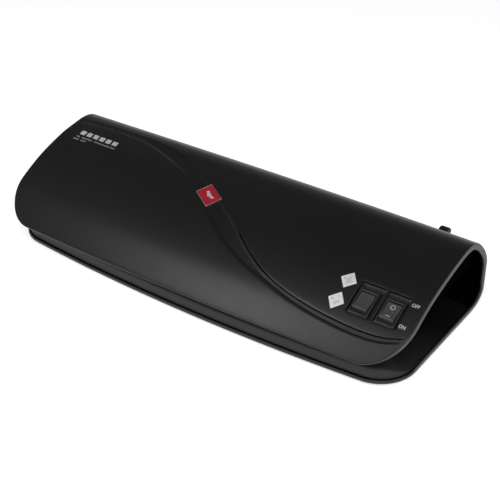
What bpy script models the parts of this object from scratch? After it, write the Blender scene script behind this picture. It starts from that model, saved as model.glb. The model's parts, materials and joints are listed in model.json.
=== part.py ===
"""Pouch laminator, built piece by piece. Metres, +Z up, front towards -Y, length along X."""

import math

import bmesh
import bpy
from mathutils import Vector

MM = 0.001
HALF_LENGTH = 167.5
BOW = 0.063
REAR_BOW = 0.045
PAN_BOW = 0.155
COVER_WALL = 2.6
PAN_WALL = 2.4
RIM_WALL = 1.6
RIM_TOP = 4.3
RUN = 0.09

COVER_FRONT = -67.73
COVER_CORNER = 27.0
PAN_FRONT = -58.5
PAN_CORNER = 25.0
PARTING_Z = 34.3
COVER_PROFILE = [
    (-67.73, 19.9), (-63.0, 24.3), (-46.8, 37.2), (-21.8, 50.0), (3.2, 57.9), (24.0, 62.3),
    (32.0, 62.8), (38.8, 61.9), (46.0, 58.2), (53.2, 51.7), (60.0, 43.4), (63.7, 35.5),
]

ROLLER_Y = 10.0
LOWER_Z = 14.3
UPPER_Z = 31.6
ROLLER_R = 8.5
SHAFT_R = 3.0
SLEEVE_X = (-116.0, 110.0)
SHAFT_X = (-131.4, 119.2)
LEFT_FRAME_X = (-123.5, -122.0)
RIGHT_FRAME_X = (116.0, 117.5)
GEAR_X = (-131.0, -126.2)
GEAR_MODULE = 17.3 / 18
ROLLER_TEETH = 18
IDLER_TEETH = 22
PINION_TEETH = 12
IDLER_POS = (29.031, 17.0)
PINION_POS = (32.34, 33.0)
RELEASE_POS = (30.0, 35.0)
CAM_OFFSET = 3.3
CAM_R = 5.0
PATH_SLOPE = 0.128
SWITCH_SLOPE = math.radians(27.1)
SWITCH_ORIGIN = (-35.05, 44.1)
RED = (0.45, 0.012, 0.02)
BLACK = (0.018, 0.018, 0.019)


def clear_scene():
    for obj in list(bpy.data.objects):
        bpy.data.objects.remove(obj)


def material(name, colour, roughness, metallic=0.0):
    found = bpy.data.materials.get(name)
    if found:
        return found
    made = bpy.data.materials.new(name)
    made.use_nodes = True
    shader = made.node_tree.nodes["Principled BSDF"]
    shader.inputs["Base Color"].default_value = (*colour, 1.0)
    shader.inputs["Roughness"].default_value = roughness
    shader.inputs["Metallic"].default_value = metallic
    made.diffuse_color = (*colour, 1.0)
    return made


def add(name, verts, faces, mat, pivot=(0.0, 0.0, 0.0), smooth=False):
    """One object from points in millimetres, with its origin at pivot."""
    mesh = bpy.data.meshes.new(name)
    origin = Vector(pivot)
    mesh.from_pydata([(Vector(v) - origin) * MM for v in verts], [], faces)
    tool = bmesh.new()
    tool.from_mesh(mesh)
    bmesh.ops.remove_doubles(tool, verts=tool.verts, dist=1e-7)
    bmesh.ops.recalc_face_normals(tool, faces=tool.faces)
    if tool.calc_volume(signed=True) < 0:
        bmesh.ops.reverse_faces(tool, faces=tool.faces)
    tool.to_mesh(mesh)
    tool.free()
    obj = bpy.data.objects.new(name, mesh)
    obj.location = origin * MM
    bpy.context.scene.collection.objects.link(obj)
    if mat:
        mesh.materials.append(mat)
    if smooth:
        shade_round(obj)
    return obj


def shade_round(obj):
    for face in obj.data.polygons:
        face.use_smooth = True
    obj.data.set_sharp_from_angle(angle=math.radians(35))


def box(name, lo, hi, mat=None):
    verts = [(x, y, z) for x in (lo[0], hi[0]) for y in (lo[1], hi[1]) for z in (lo[2], hi[2])]
    faces = [(0, 1, 3, 2), (4, 6, 7, 5), (0, 4, 5, 1), (2, 3, 7, 6), (0, 2, 6, 4), (1, 5, 7, 3)]
    return add(name, verts, faces, mat)


def prism_x(name, outline, x0, x1, mat=None, pivot=(0.0, 0.0, 0.0), smooth=False):
    """A closed outline of (y, z) points pushed along X."""
    n = len(outline)
    verts = [(x0, y, z) for y, z in outline] + [(x1, y, z) for y, z in outline]
    faces = [tuple(range(n)), tuple(range(2 * n - 1, n - 1, -1))]
    faces += [(i, (i + 1) % n, n + (i + 1) % n, n + i) for i in range(n)]
    return add(name, verts, faces, mat, pivot, smooth)


def lathe(name, rings, centre, axis="X", mat=None, segments=24, pivot=None):
    """A turned solid: rings are (position along the axis, radius)."""
    verts = []
    for at, radius in rings:
        for k in range(segments):
            angle = 2 * math.pi * k / segments
            a = radius * math.cos(angle)
            b = radius * math.sin(angle)
            if axis == "X":
                verts.append((at, centre[0] + a, centre[1] + b))
            elif axis == "Y":
                verts.append((centre[0] + a, at, centre[1] + b))
            else:
                verts.append((centre[0] + a, centre[1] + b, at))
    faces = [tuple(range(segments))]
    for r in range(len(rings) - 1):
        for k in range(segments):
            m = (k + 1) % segments
            low = r * segments
            faces.append((low + k, low + m, low + segments + m, low + segments + k))
    last = (len(rings) - 1) * segments
    faces.append(tuple(range(last, last + segments)))
    return add(name, verts, faces, mat, pivot or (0.0, 0.0, 0.0), smooth=True)


def tilted_box(name, lo, hi, origin, angle, mat=None):
    """A box in a frame turned about X: (x, along, normal) from an origin (y, z)."""
    c = math.cos(angle)
    s = math.sin(angle)
    verts = []
    for x in (lo[0], hi[0]):
        for v in (lo[1], hi[1]):
            for w in (lo[2], hi[2]):
                verts.append((x, origin[0] + v * c - w * s, origin[1] + v * s + w * c))
    faces = [(0, 1, 3, 2), (4, 6, 7, 5), (0, 4, 5, 1), (2, 3, 7, 6), (0, 2, 6, 4), (1, 5, 7, 3)]
    return add(name, verts, faces, mat)


def tilted_prism(name, outline, w0, w1, origin, angle, mat=None):
    """An outline of (x, along) points pushed along the normal of a frame turned about X."""
    c = math.cos(angle)
    s = math.sin(angle)
    n = len(outline)
    verts = []
    for w in (w0, w1):
        for x, v in outline:
            verts.append((x, origin[0] + v * c - w * s, origin[1] + v * s + w * c))
    faces = [tuple(range(n)), tuple(range(2 * n - 1, n - 1, -1))]
    faces += [(i, (i + 1) % n, n + (i + 1) % n, n + i) for i in range(n)]
    return add(name, verts, faces, mat)


def combine(target, tools, operation):
    """A Boolean of target with each tool, applied at once, and the tools removed."""
    for tool in tools:
        modifier = target.modifiers.new(operation.lower(), "BOOLEAN")
        modifier.operation = operation
        modifier.solver = "EXACT"
        modifier.object = tool
        bpy.context.view_layer.update()
        graph = bpy.context.evaluated_depsgraph_get()
        mesh = bpy.data.meshes.new_from_object(target.evaluated_get(graph))
        old = target.data
        target.modifiers.clear()
        target.data = mesh
        mesh.name = target.name
        bpy.data.meshes.remove(old)
        bpy.data.objects.remove(tool)
    return target


def cut(target, *tools):
    return combine(target, tools, "DIFFERENCE")


def join(target, *tools):
    return combine(target, tools, "UNION")


def along(points, count):
    """Points spread evenly by length over a smooth curve through the given points."""
    fine = []
    for i in range(len(points) - 1):
        p0 = Vector(points[max(i - 1, 0)])
        p1 = Vector(points[i])
        p2 = Vector(points[i + 1])
        p3 = Vector(points[min(i + 2, len(points) - 1)])
        for k in range(12):
            t = k / 12
            a = (p2 - p0) / 2
            b = (p3 - p1) / 2
            h = (2 * t**3 - 3 * t**2 + 1) * p1 + (t**3 - 2 * t**2 + t) * a
            h += (3 * t**2 - 2 * t**3) * p2 + (t**3 - t**2) * b
            fine.append(h)
    fine.append(Vector(points[-1]))
    lengths = [0.0]
    for p, q in zip(fine, fine[1:]):
        lengths.append(lengths[-1] + (q - p).length)
    made = []
    j = 0
    for k in range(count):
        want = lengths[-1] * k / (count - 1)
        while j < len(fine) - 2 and lengths[j + 1] < want:
            j += 1
        share = (want - lengths[j]) / max(lengths[j + 1] - lengths[j], 1e-9)
        made.append(fine[j].lerp(fine[j + 1], min(share, 1.0)))
    return made


FINE_PROFILE = along(COVER_PROFILE, 240)


def profile_at(y):
    """The cover's outer height at an end section, and its slope, ahead of the ridge."""
    for p, q in zip(FINE_PROFILE, FINE_PROFILE[1:]):
        if p.x <= y <= q.x:
            slope = (q.y - p.y) / (q.x - p.x)
            return p.y + slope * (y - p.x), slope
    return FINE_PROFILE[0].y, 0.9


def half_width(y, front, corner):
    depth = front + corner - y
    if depth <= 0:
        return HALF_LENGTH
    return HALF_LENGTH - corner + math.sqrt(max(corner**2 - depth**2, 0.0))


def bowed(y, x, share):
    return y * (1 + share * (1 - (x / HALF_LENGTH) ** 2))


def corner_rows(front, corner, count):
    return [front + corner * (1 - math.cos(0.5 * math.pi * k / count)) for k in range(count + 1)]


def sheet(name, rows, columns, front, corner, share, mat):
    """A closed shell from rows of (outer y, outer z, inner y, inner z) across the length."""
    outer = []
    inner = []
    for y, z, yi, zi in rows:
        wide = half_width(y, front, corner)
        for k in range(columns + 1):
            x = wide * (2 * k / columns - 1)
            bow = share(y)
            outer.append((x, bowed(y, x, bow), z))
            inner.append((x, bowed(yi, x, bow), zi))
    n = columns + 1
    count = len(rows)
    shift = len(outer)
    faces = []
    for r in range(count - 1):
        for k in range(columns):
            a = r * n + k
            faces.append((a, a + 1, a + n + 1, a + n))
            faces.append((shift + a, shift + a + n, shift + a + n + 1, shift + a + 1))
        for a in (r * n, r * n + columns):
            faces.append((a, a + n, shift + a + n, shift + a))
    for k in range(columns):
        for a in (k, (count - 1) * n + k):
            faces.append((a, a + 1, shift + a + 1, shift + a))
    return add(name, outer + inner, faces, mat, smooth=True)


def cover_share(y):
    return BOW if y < 0 else REAR_BOW


def cover_rows():
    """Section rows from the front lip over the ridge and down to the parting line."""
    ys = corner_rows(COVER_FRONT, COVER_CORNER, 9)
    ys += [-36.0, -29.0, -21.0, -12.0, -2.0, 8.0, 17.0]
    rows = []
    for y in ys:
        z, slope = profile_at(y)
        rows.append((y, z, y, z - COVER_WALL * math.sqrt(1 + slope**2)))
    rear = [p for p in FINE_PROFILE if p.x > 22.0]
    step = max(1, len(rear) // 13)
    picked = rear[::step]
    if picked[-1] != rear[-1]:
        picked.append(rear[-1])
    for i, p in enumerate(picked):
        before = picked[max(i - 1, 0)]
        after = picked[min(i + 1, len(picked) - 1)]
        run = (after - before).normalized()
        inward = Vector((run.y, -run.x)) * COVER_WALL
        rows.append((p.x, p.y, p.x + inward.x, p.y + inward.y))
    rows.append((63.8, PARTING_Z, 63.8 - COVER_WALL, PARTING_Z))
    return rows


def make_cover(plastic):
    cover = sheet("top_cover", cover_rows(), 34, COVER_FRONT, COVER_CORNER, cover_share, plastic)
    pocket = tilted_box("pocket", (116.6, -14.6, -5.7), (157.3, 14.6, -1.3), SWITCH_ORIGIN, SWITCH_SLOPE)
    join(cover, pocket)
    left = tilted_box("left_well", (119.2, -12.1, -3.3), (138.0, 12.1, 20.0), SWITCH_ORIGIN, SWITCH_SLOPE)
    right = tilted_box("right_well", (139.0, -12.1, -3.3), (156.0, 12.1, 20.0), SWITCH_ORIGIN, SWITCH_SLOPE)
    holes = []
    for centre in (127.1, 146.6):
        lo = (centre - 6.6, -11.2, -20.0)
        hi = (centre + 6.6, 8.0, 1.0)
        holes.append(tilted_box("switch_hole", lo, hi, SWITCH_ORIGIN, SWITCH_SLOPE))
    lever_slot = box("lever_slot", (127.6, 50.0, 20.0), (136.0, 80.0, 52.5))
    cut(cover, left, right, *holes, lever_slot)
    shade_round(cover)
    return cover


def pan_share(y):
    return PAN_BOW if y < 0 else REAR_BOW


def pan_outline(inset, corner_steps=8, y_rear=60.0):
    """Plan outline of the pan, moved inwards, from the front middle round the right end."""
    points = []
    for k in range(8):
        x = (HALF_LENGTH - PAN_CORNER) * k / 8
        points.append((x, bowed(PAN_FRONT, x, PAN_BOW) + inset, 0.0))
    for k in range(corner_steps + 1):
        angle = 0.5 * math.pi * k / corner_steps
        radius = PAN_CORNER - inset
        x = HALF_LENGTH - PAN_CORNER + radius * math.sin(angle)
        y = PAN_FRONT + PAN_CORNER - radius * math.cos(angle)
        points.append((x, bowed(y, x, PAN_BOW), angle / (0.5 * math.pi)))
    for y in (-15.0, 10.0, 35.0, y_rear):
        points.append((HALF_LENGTH - inset, y, 1.0))
    return points


def both_sides(points):
    right = [(x, y, w) for x, y, w in points]
    left = [(-x, y, w) for x, y, w in reversed(points) if x > 1e-6]
    return right + left


def make_pan(plastic):
    rows = []
    steps = [(63.9, 34.0, 61.5, 34.0), (63.9, 23.0, 61.5, 23.0), (63.9, 12.5, 61.5, 13.0)]
    steps += [(62.0, 7.6, 60.0, 9.2), (57.5, 4.1, 56.3, 6.2), (51.5, 2.1, 50.9, 4.4), (46.0, 1.5, 46.0, 3.9)]
    rows += steps
    for y in (25.0, 5.0, -15.0):
        rows.append((y, 1.5, y, 3.9))
    for y in reversed(corner_rows(PAN_FRONT, PAN_CORNER, 8)):
        rows.append((y, 1.5, y, 3.9))
    pan = sheet("base_casing", rows, 30, PAN_FRONT, PAN_CORNER, pan_share, plastic)
    outer = both_sides(pan_outline(0.0, y_rear=50.5))
    inner = both_sides(pan_outline(RIM_WALL, y_rear=50.5))
    n = len(outer)
    verts = [(x, y, 2.2) for x, y, w in outer] + [(x, y, RIM_TOP) for x, y, w in outer]
    verts += [(x, y, 2.2) for x, y, w in inner] + [(x, y, RIM_TOP) for x, y, w in inner]
    faces = []
    for i in range(n - 1):
        j = i + 1
        if outer[i][1] > 50.0 and outer[j][1] > 50.0:
            continue
        faces.append((i, j, n + j, n + i))
        faces.append((2 * n + i, 3 * n + i, 3 * n + j, 2 * n + j))
        faces.append((n + i, n + j, 3 * n + j, 3 * n + i))
        faces.append((i, 2 * n + i, 2 * n + j, j))
    i = n - 1
    faces.append((i, 0, n, n + i))
    faces.append((2 * n + i, 3 * n + i, 3 * n, 2 * n))
    faces.append((n + i, n, 3 * n, 3 * n + i))
    faces.append((i, 2 * n + i, 2 * n, 0))
    for i in (i for i in range(n) if outer[i][1] > 50.0):
        faces.append((i, n + i, 3 * n + i, 2 * n + i))
    rim = add("rim", verts, faces, None)
    join(pan, rim)
    exit_slot = box("exit_slot", (-118.0, 50.0, 26.0), (114.0, 80.0, 40.0))
    lever_slot = box("lever_slot", (127.6, 50.0, 21.0), (136.0, 80.0, 40.0))
    cut(pan, exit_slot, lever_slot)
    for x in (-116.5, 110.5):
        for y in (-24.0, 46.0):
            cut(pan, lathe("screw_hole", [(-5.0, 1.7), (12.0, 1.7)], (x, y), "Z", segments=12))
    cord_hole = lathe("cord_hole", [(40.0, 4.2), (80.0, 4.2)], (-140.0, 18.0), "Y", segments=20)
    cut(pan, cord_hole)
    for y in (-20.0, 30.0):
        join(pan, lathe("board_post", [(3.0, 3.0), (7.0, 2.6)], (126.0, y), "Z", segments=12))
    shade_round(pan)
    return pan


def make_tray(plastic):
    """The entry tray: a low mound all round the front and the ends, open over the mechanism."""
    insets = [1.9, 2.1, 2.8, 4.6, 12.0, 22.0]
    front_z = [4.5, 8.2, 10.9, 11.7, 11.8, 11.8]
    end_z = [4.5, 4.7, 4.9, 5.4, 6.8, 8.0]
    verts = []
    outline = both_sides(pan_outline(insets[0], y_rear=46.0))
    n = len(outline)
    verts += [(x, y, 4.25) for x, y, w in outline]
    for inset, zf, ze in zip(insets, front_z, end_z):
        ring = both_sides(pan_outline(inset, y_rear=46.0))
        for x, y, w in ring:
            blend = w * w * (3 - 2 * w)
            verts.append((x, y, zf * (1 - blend) + ze * blend))
    faces = [tuple(range(n))]
    for r in range(len(insets)):
        for i in range(n):
            j = (i + 1) % n
            faces.append((r * n + i, r * n + j, (r + 1) * n + j, (r + 1) * n + i))
    faces.append(tuple(range(len(insets) * n, (len(insets) + 1) * n)))
    tray = add("entry_tray", verts, faces, plastic)
    well = box("well", (-139.0, -34.0, 0.0), (134.0, 80.0, 40.0))
    right_seat = box("right_seat", (120.0, -34.0, 8.4), (151.0, 80.0, 40.0))
    left_seat = box("left_seat", (-156.0, -34.0, 8.4), (-130.0, 80.0, 40.0))
    cut(tray, well, right_seat, left_seat)
    shade_round(tray)
    return tray


def cap_x(z, side):
    """How far out the end panel stands at a height: it leans out towards the top."""
    if side > 0:
        table = [(6.0, 137.0), (12.0, 146.0), (20.0, 152.5), (28.0, 157.5), (32.0, 159.6), (64.0, 162.6)]
    else:
        table = [(6.0, 147.0), (12.0, 153.5), (20.0, 156.0), (30.0, 158.5), (45.0, 161.0), (64.0, 162.5)]
    for (z0, x0), (z1, x1) in zip(table, table[1:]):
        if z <= z1:
            return x0 + (x1 - x0) * (z - z0) / (z1 - z0)
    return table[-1][1]


def make_end_cap(name, side, plastic):
    """A thin curved panel that closes one end of the casing, well inside the rim."""
    heights = [9.0, 12.0, 16.0, 20.0, 24.0, 28.0, 32.0, 38.0, 44.0, 50.0, 54.0, 57.0]
    columns = 6
    verts = []
    for thick in (0.0, 2.0):
        for z in heights:
            x = cap_x(z, side) - thick
            wide = 1 + BOW * (1 - (x / HALF_LENGTH) ** 2)
            under = [row for row in cover_rows() if row[3] > z + 1.4]
            y0 = max(under[0][2] * wide, -50.0 if z > 12.5 else -30.0)
            y1 = min(under[-1][2] - 0.5, 60.6)
            if z < 34.0:
                y1 = 60.6 if z > 13.0 else 57.0 + (z - 9.0) * 0.8
            for k in range(columns + 1):
                verts.append((side * x, y0 + (y1 - y0) * k / columns, z))
    n = columns + 1
    count = len(heights)
    shift = n * count
    faces = []
    for r in range(count - 1):
        for k in range(columns):
            a = r * n + k
            faces.append((a, a + 1, a + n + 1, a + n))
            faces.append((shift + a, shift + a + n, shift + a + n + 1, shift + a + 1))
        for a in (r * n, r * n + columns):
            faces.append((a, a + n, shift + a + n, shift + a))
    for k in range(columns):
        for a in (k, (count - 1) * n + k):
            faces.append((a, a + 1, shift + a + 1, shift + a))
    return add(name, verts, faces, plastic, smooth=True)


def make_feet(rubber):
    for name, x, y in (
        ("front_left_foot", -132.0, -42.0), ("front_right_foot", 132.0, -42.0),
        ("rear_left_foot", -145.0, 34.0), ("rear_right_foot", 145.0, 34.0),
    ):
        lathe(name, [(0.0, 5.2), (0.5, 6.0), (1.2, 6.0)], (x, y), "Z", rubber, 20)


def path_z(y):
    return 14.0 + PATH_SLOPE * (y + 60.0)


def frame_outline():
    return [
        (-33.0, 4.2), (50.0, 4.2), (50.0, 44.0), (42.0, 48.0), (14.0, 48.0), (-4.0, 45.0),
        (-22.0, 37.0), (-33.0, 30.0),
    ]


def make_side_frame(name, x0, x1, inward, steel):
    frame = prism_x(name, frame_outline(), x0, x1, steel)
    for y0, y1 in ((-30.0, -18.0), (42.0, 50.0)):
        lo = min(x0, x0 + inward * 12.0) if inward > 0 else x1 - 12.0
        hi = x0 + 12.0 if inward > 0 else x1
        flange = box("flange", (lo, y0, 4.2), (hi, y1, 5.7))
        join(frame, flange)
    screw_x = -116.5 if inward > 0 else 110.5
    for y in (-24.0, 46.0):
        cut(frame, lathe("hole", [(0.0, 1.7), (9.0, 1.7)], (screw_x, y), "Z", segments=12))
    span = (x0 - 5.0, x1 + 5.0)
    lower = lathe("hole", [(span[0], 4.9), (span[1], 4.9)], (ROLLER_Y, LOWER_Z), segments=24)
    slot = box("slot", (span[0], 5.4, 26.9), (span[1], 14.6, 38.6))
    shaft = lathe("hole", [(span[0], 2.6), (span[1], 2.6)], RELEASE_POS, segments=24)
    cut(frame, lower, slot, shaft)
    angle = math.atan(PATH_SLOPE)
    for origin, low, high in (
        ((-16.5, path_z(-16.5)), -4.4, -1.3), ((-16.5, path_z(-16.5)), 1.3, 4.4),
        ((40.0, path_z(40.0)), -3.9, -1.5),
    ):
        lo = (span[0], -5.3, low)
        hi = (span[1], 5.3, high)
        cut(frame, tilted_box("ear_slot", lo, hi, origin, angle))
    if inward > 0:
        pin = lathe("hole", [(span[0], 2.3), (span[1], 2.3)], IDLER_POS, segments=20)
        cut(frame, pin)
        for y, z in ((-6.0, 37.0), (45.0, 40.0), (-14.0, 9.5)):
            cut(frame, lathe("hole", [(span[0], 1.8), (span[1], 1.8)], (y, z), segments=12))
    return frame


def make_screws(steel):
    for side, x in (("left", -116.5), ("right", 110.5)):
        for end, y in (("front", -24.0), ("rear", 46.0)):
            rings = [(1.9, 0.9), (3.0, 1.3), (6.0, 1.3), (6.0, 2.9), (7.2, 2.7), (7.8, 1.8)]
            screw = lathe(f"{end}_{side}_frame_screw", rings, (x, y), "Z", steel, 14)
            cut(screw, box("drive", (x - 1.6, y - 0.3, 7.1), (x + 1.6, y + 0.3, 9.0)))


def make_rollers(steel, silicone):
    for name, z in (("lower", LOWER_Z), ("upper", UPPER_Z)):
        centre = (ROLLER_Y, z)
        pivot = (0.0, ROLLER_Y, z)
        rings = [(SHAFT_X[0], 2.6), (SHAFT_X[0] + 0.4, SHAFT_R), (SHAFT_X[1] - 0.4, SHAFT_R), (SHAFT_X[1], 2.6)]
        shaft = lathe(f"{name}_roller_shaft", rings, centre, "X", steel, 24, pivot)
        flat = box("flat", (SHAFT_X[0] - 1, ROLLER_Y - 5, z + 2.3), (-125.9, ROLLER_Y + 5, z + 5))
        cut(shaft, flat)
        rings = [(SLEEVE_X[0], ROLLER_R - 0.5), (SLEEVE_X[0] + 0.5, ROLLER_R)]
        rings += [(SLEEVE_X[1] - 0.5, ROLLER_R), (SLEEVE_X[1], ROLLER_R - 0.5)]
        sleeve = lathe(f"{name}_roller_sleeve", rings, centre, "X", silicone, 28, pivot)
        core = lathe("core", [(-130.0, SHAFT_R + 0.05), (130.0, SHAFT_R + 0.05)], centre, "X", None, 24, pivot)
        cut(sleeve, core)


def make_bushes(polymer):
    """Fixed lower bushes, and upper bush blocks that slide in the frame slots."""
    for side, inner, outer, sign in (("left", -121.7, -125.4, 1), ("right", 115.7, 119.0, -1)):
        rings = [(outer, 4.6), (inner, 4.6), (inner, 6.2), (inner + sign * 1.6, 6.2)]
        lower = lathe(f"lower_{side}_bush", rings, (ROLLER_Y, LOWER_Z), "X", polymer, 24)
        hole = lathe("hole", [(-135.0, SHAFT_R + RUN), (135.0, SHAFT_R + RUN)], (ROLLER_Y, LOWER_Z), "X")
        cut(lower, hole)
        far = inner + sign * 5.1
        lo_x = min(inner, far)
        hi_x = max(inner, far)
        outline = [
            (3.8, 25.6), (16.2, 25.6), (16.2, 37.0), (20.0, 39.45), (33.0, 39.45), (33.0, 42.6),
            (18.0, 42.6), (15.6, 41.0), (4.6, 41.0), (3.8, 40.2),
        ]
        block = prism_x(f"upper_{side}_bush", outline, lo_x, hi_x, polymer)
        collar = box("collar", (min(inner, outer), 5.8, 27.4), (max(inner, outer), 14.2, 36.2))
        join(block, collar)
        hole = lathe("hole", [(-135.0, SHAFT_R + RUN), (135.0, SHAFT_R + RUN)], (ROLLER_Y, UPPER_Z), "X")
        cut(block, hole)


def make_springs(steel):
    """Compression springs that press the upper bush blocks down."""
    for side, x in (("left", -119.1), ("right", 113.1)):
        coils = 5
        steps = 10
        ring = 5
        verts = []
        count = coils * steps + 1
        for i in range(count):
            angle = 2 * math.pi * i / steps
            z = 42.0 + 5.6 * i / (count - 1)
            for k in range(ring):
                turn = 2 * math.pi * k / ring
                radius = 2.0 + 0.35 * math.cos(turn)
                verts.append((
                    x + radius * math.cos(angle), ROLLER_Y + radius * math.sin(angle),
                    z + 0.35 * math.sin(turn),
                ))
        faces = [tuple(range(ring)), tuple(range((count - 1) * ring, count * ring))]
        for i in range(count - 1):
            for k in range(ring):
                m = (k + 1) % ring
                faces.append((i * ring + k, i * ring + m, (i + 1) * ring + m, (i + 1) * ring + k))
        add(f"{side}_pressure_spring", verts, faces, steel, (x, ROLLER_Y, 42.0), smooth=True)


def gear(name, teeth, centre, bore, phase, mat, x_span=GEAR_X, hub=0.0):
    """A spur gear about X with slack teeth, a bore and an optional hub."""
    pitch = 0.5 * GEAR_MODULE * teeth
    tip = pitch + 0.85 * GEAR_MODULE
    root = pitch - 1.15 * GEAR_MODULE
    step = 2 * math.pi / teeth
    outline = []
    for k in range(teeth):
        base = phase + k * step
        for offset, radius in ((-0.30, root), (-0.215, pitch), (-0.10, tip), (0.10, tip), (0.215, pitch), (0.30, root)):
            angle = base + offset * step
            outline.append((centre[0] + radius * math.cos(angle), centre[1] + radius * math.sin(angle)))
    pivot = (0.0, centre[0], centre[1])
    made = prism_x(name, outline, x_span[0], x_span[1], mat, pivot)
    if hub:
        join(made, lathe("hub", [(x_span[0] + 0.5, hub), (x_span[1] + 0.5, hub)], centre, "X", None, 20, pivot))
    cut(made, lathe("bore", [(x_span[0] - 3, bore), (x_span[1] + 3, bore)], centre, "X", None, 24, pivot))
    return made


def make_gears(polymer, steel):
    step = 2 * math.pi / ROLLER_TEETH
    lower = (ROLLER_Y, LOWER_Z)
    upper = (ROLLER_Y, UPPER_Z)
    gear("lower_roller_gear", ROLLER_TEETH, lower, SHAFT_R + 0.08, 0.5 * math.pi, polymer)
    gear("upper_roller_gear", ROLLER_TEETH, upper, SHAFT_R + 0.08, -0.5 * math.pi + 0.5 * step, polymer)
    toward = math.atan2(IDLER_POS[1] - LOWER_Z, IDLER_POS[0] - ROLLER_Y)
    turned = (toward - 0.5 * math.pi) / step
    phase = toward + math.pi + (0.5 + turned) * 2 * math.pi / IDLER_TEETH
    gear("idler_gear", IDLER_TEETH, IDLER_POS, 2.0 + RUN, phase, polymer)
    rise = math.atan2(PINION_POS[1] - IDLER_POS[1], PINION_POS[0] - IDLER_POS[0])
    turned = (rise - phase) / (2 * math.pi / IDLER_TEETH)
    pinion_phase = rise + math.pi + (0.5 + turned) * 2 * math.pi / PINION_TEETH
    gear("motor_pinion", PINION_TEETH, PINION_POS, 2.0 + 0.08, pinion_phase, polymer)
    rings = [(-131.8, 3.2), (-131.3, 3.2), (-131.3, 2.0), (-121.6, 2.0)]
    lathe("idler_pin", rings, IDLER_POS, "X", steel, 20)


def make_motor(can, steel):
    rings = [(-150.6, 21.0), (-149.8, 22.0), (-137.6, 22.0), (-136.8, 21.2)]
    motor = lathe("drive_motor", rings, PINION_POS, "X", can, 32)
    for y in (PINION_POS[0] - 22.0, PINION_POS[0] + 22.0):
        ear = lathe("ear", [(-138.4, 4.2), (-136.8, 4.2)], (y, PINION_POS[1]), "X", None, 16)
        join(motor, ear)
        cut(motor, lathe("hole", [(-145.0, 1.6), (-130.0, 1.6)], (y * 0.985 + 0.5, PINION_POS[1]), "X", None, 12))
    shaft = lathe("shaft", [(-140.0, 2.0), (-125.4, 2.0)], PINION_POS, "X", None, 24)
    join(motor, shaft)
    shade_round(motor)
    outline = [
        (-18.0, 5.5), (-10.0, 5.5), (14.0, 8.0), (46.0, 8.0), (49.5, 13.0), (49.5, 43.0), (44.0, 47.0),
        (-2.0, 41.0), (-9.0, 40.0), (-18.0, 14.0),
    ]
    bracket = prism_x("motor_bracket", outline, -136.5, -135.0, steel)
    cut(bracket, lathe("hole", [(-140.0, 7.0), (-130.0, 7.0)], PINION_POS, "X", None, 24))
    for y, z in ((-6.0, 37.0), (45.0, 40.0), (-14.0, 9.5)):
        leg = lathe("leg", [(-135.6, 2.6), (-123.8, 2.6)], (y, z), "X", None, 12)
        join(bracket, leg)
    return bracket


def make_heaters(aluminium, ceramic, steel, polymer):
    angle = math.atan(PATH_SLOPE)
    origin = (-16.5, path_z(-16.5))
    plan = [
        (-119.0, -14.5), (113.0, -14.5), (113.0, -5.0), (118.2, -5.0), (118.2, 5.0), (113.0, 5.0),
        (113.0, 14.5), (-119.0, 14.5), (-119.0, 5.0), (-124.2, 5.0), (-124.2, -5.0), (-119.0, -5.0),
    ]
    tilted_prism("lower_heater_plate", plan, -4.1, -1.6, origin, angle, aluminium)
    tilted_prism("upper_heater_plate", plan, 1.6, 4.1, origin, angle, aluminium)
    tilted_box("lower_heating_element", (-108.0, -9.0, -6.0), (102.0, 9.0, -4.4), origin, angle, ceramic)
    tilted_box("upper_heating_element", (-108.0, -9.0, 4.4), (60.0, 9.0, 6.0), origin, angle, ceramic)
    disc = tilted_box("thermostat", (72.0, -9.5, 4.4), (92.0, 4.5, 5.6), origin, angle, steel)
    can = lathe("can", [(24.45, 5.6), (29.4, 5.6), (30.4, 4.6)], (82.0, -19.5), "Z", None, 20)
    join(disc, can)
    rings = [(98.0, 0.5), (99.0, 1.9), (108.0, 1.9), (109.0, 0.5)]
    lathe("thermal_fuse", rings, (-15.0, 26.4), "X", polymer, 14)
    guide_origin = (40.0, path_z(40.0))
    plan = [
        (-119.0, -19.0), (113.0, -19.0), (113.0, -5.0), (118.2, -5.0), (118.2, 5.0), (113.0, 5.0),
        (113.0, 19.0), (-119.0, 19.0), (-119.0, 5.0), (-124.2, 5.0), (-124.2, -5.0), (-119.0, -5.0),
    ]
    tilted_prism("exit_guide", plan, -3.4, -1.8, guide_origin, angle, polymer)


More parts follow.
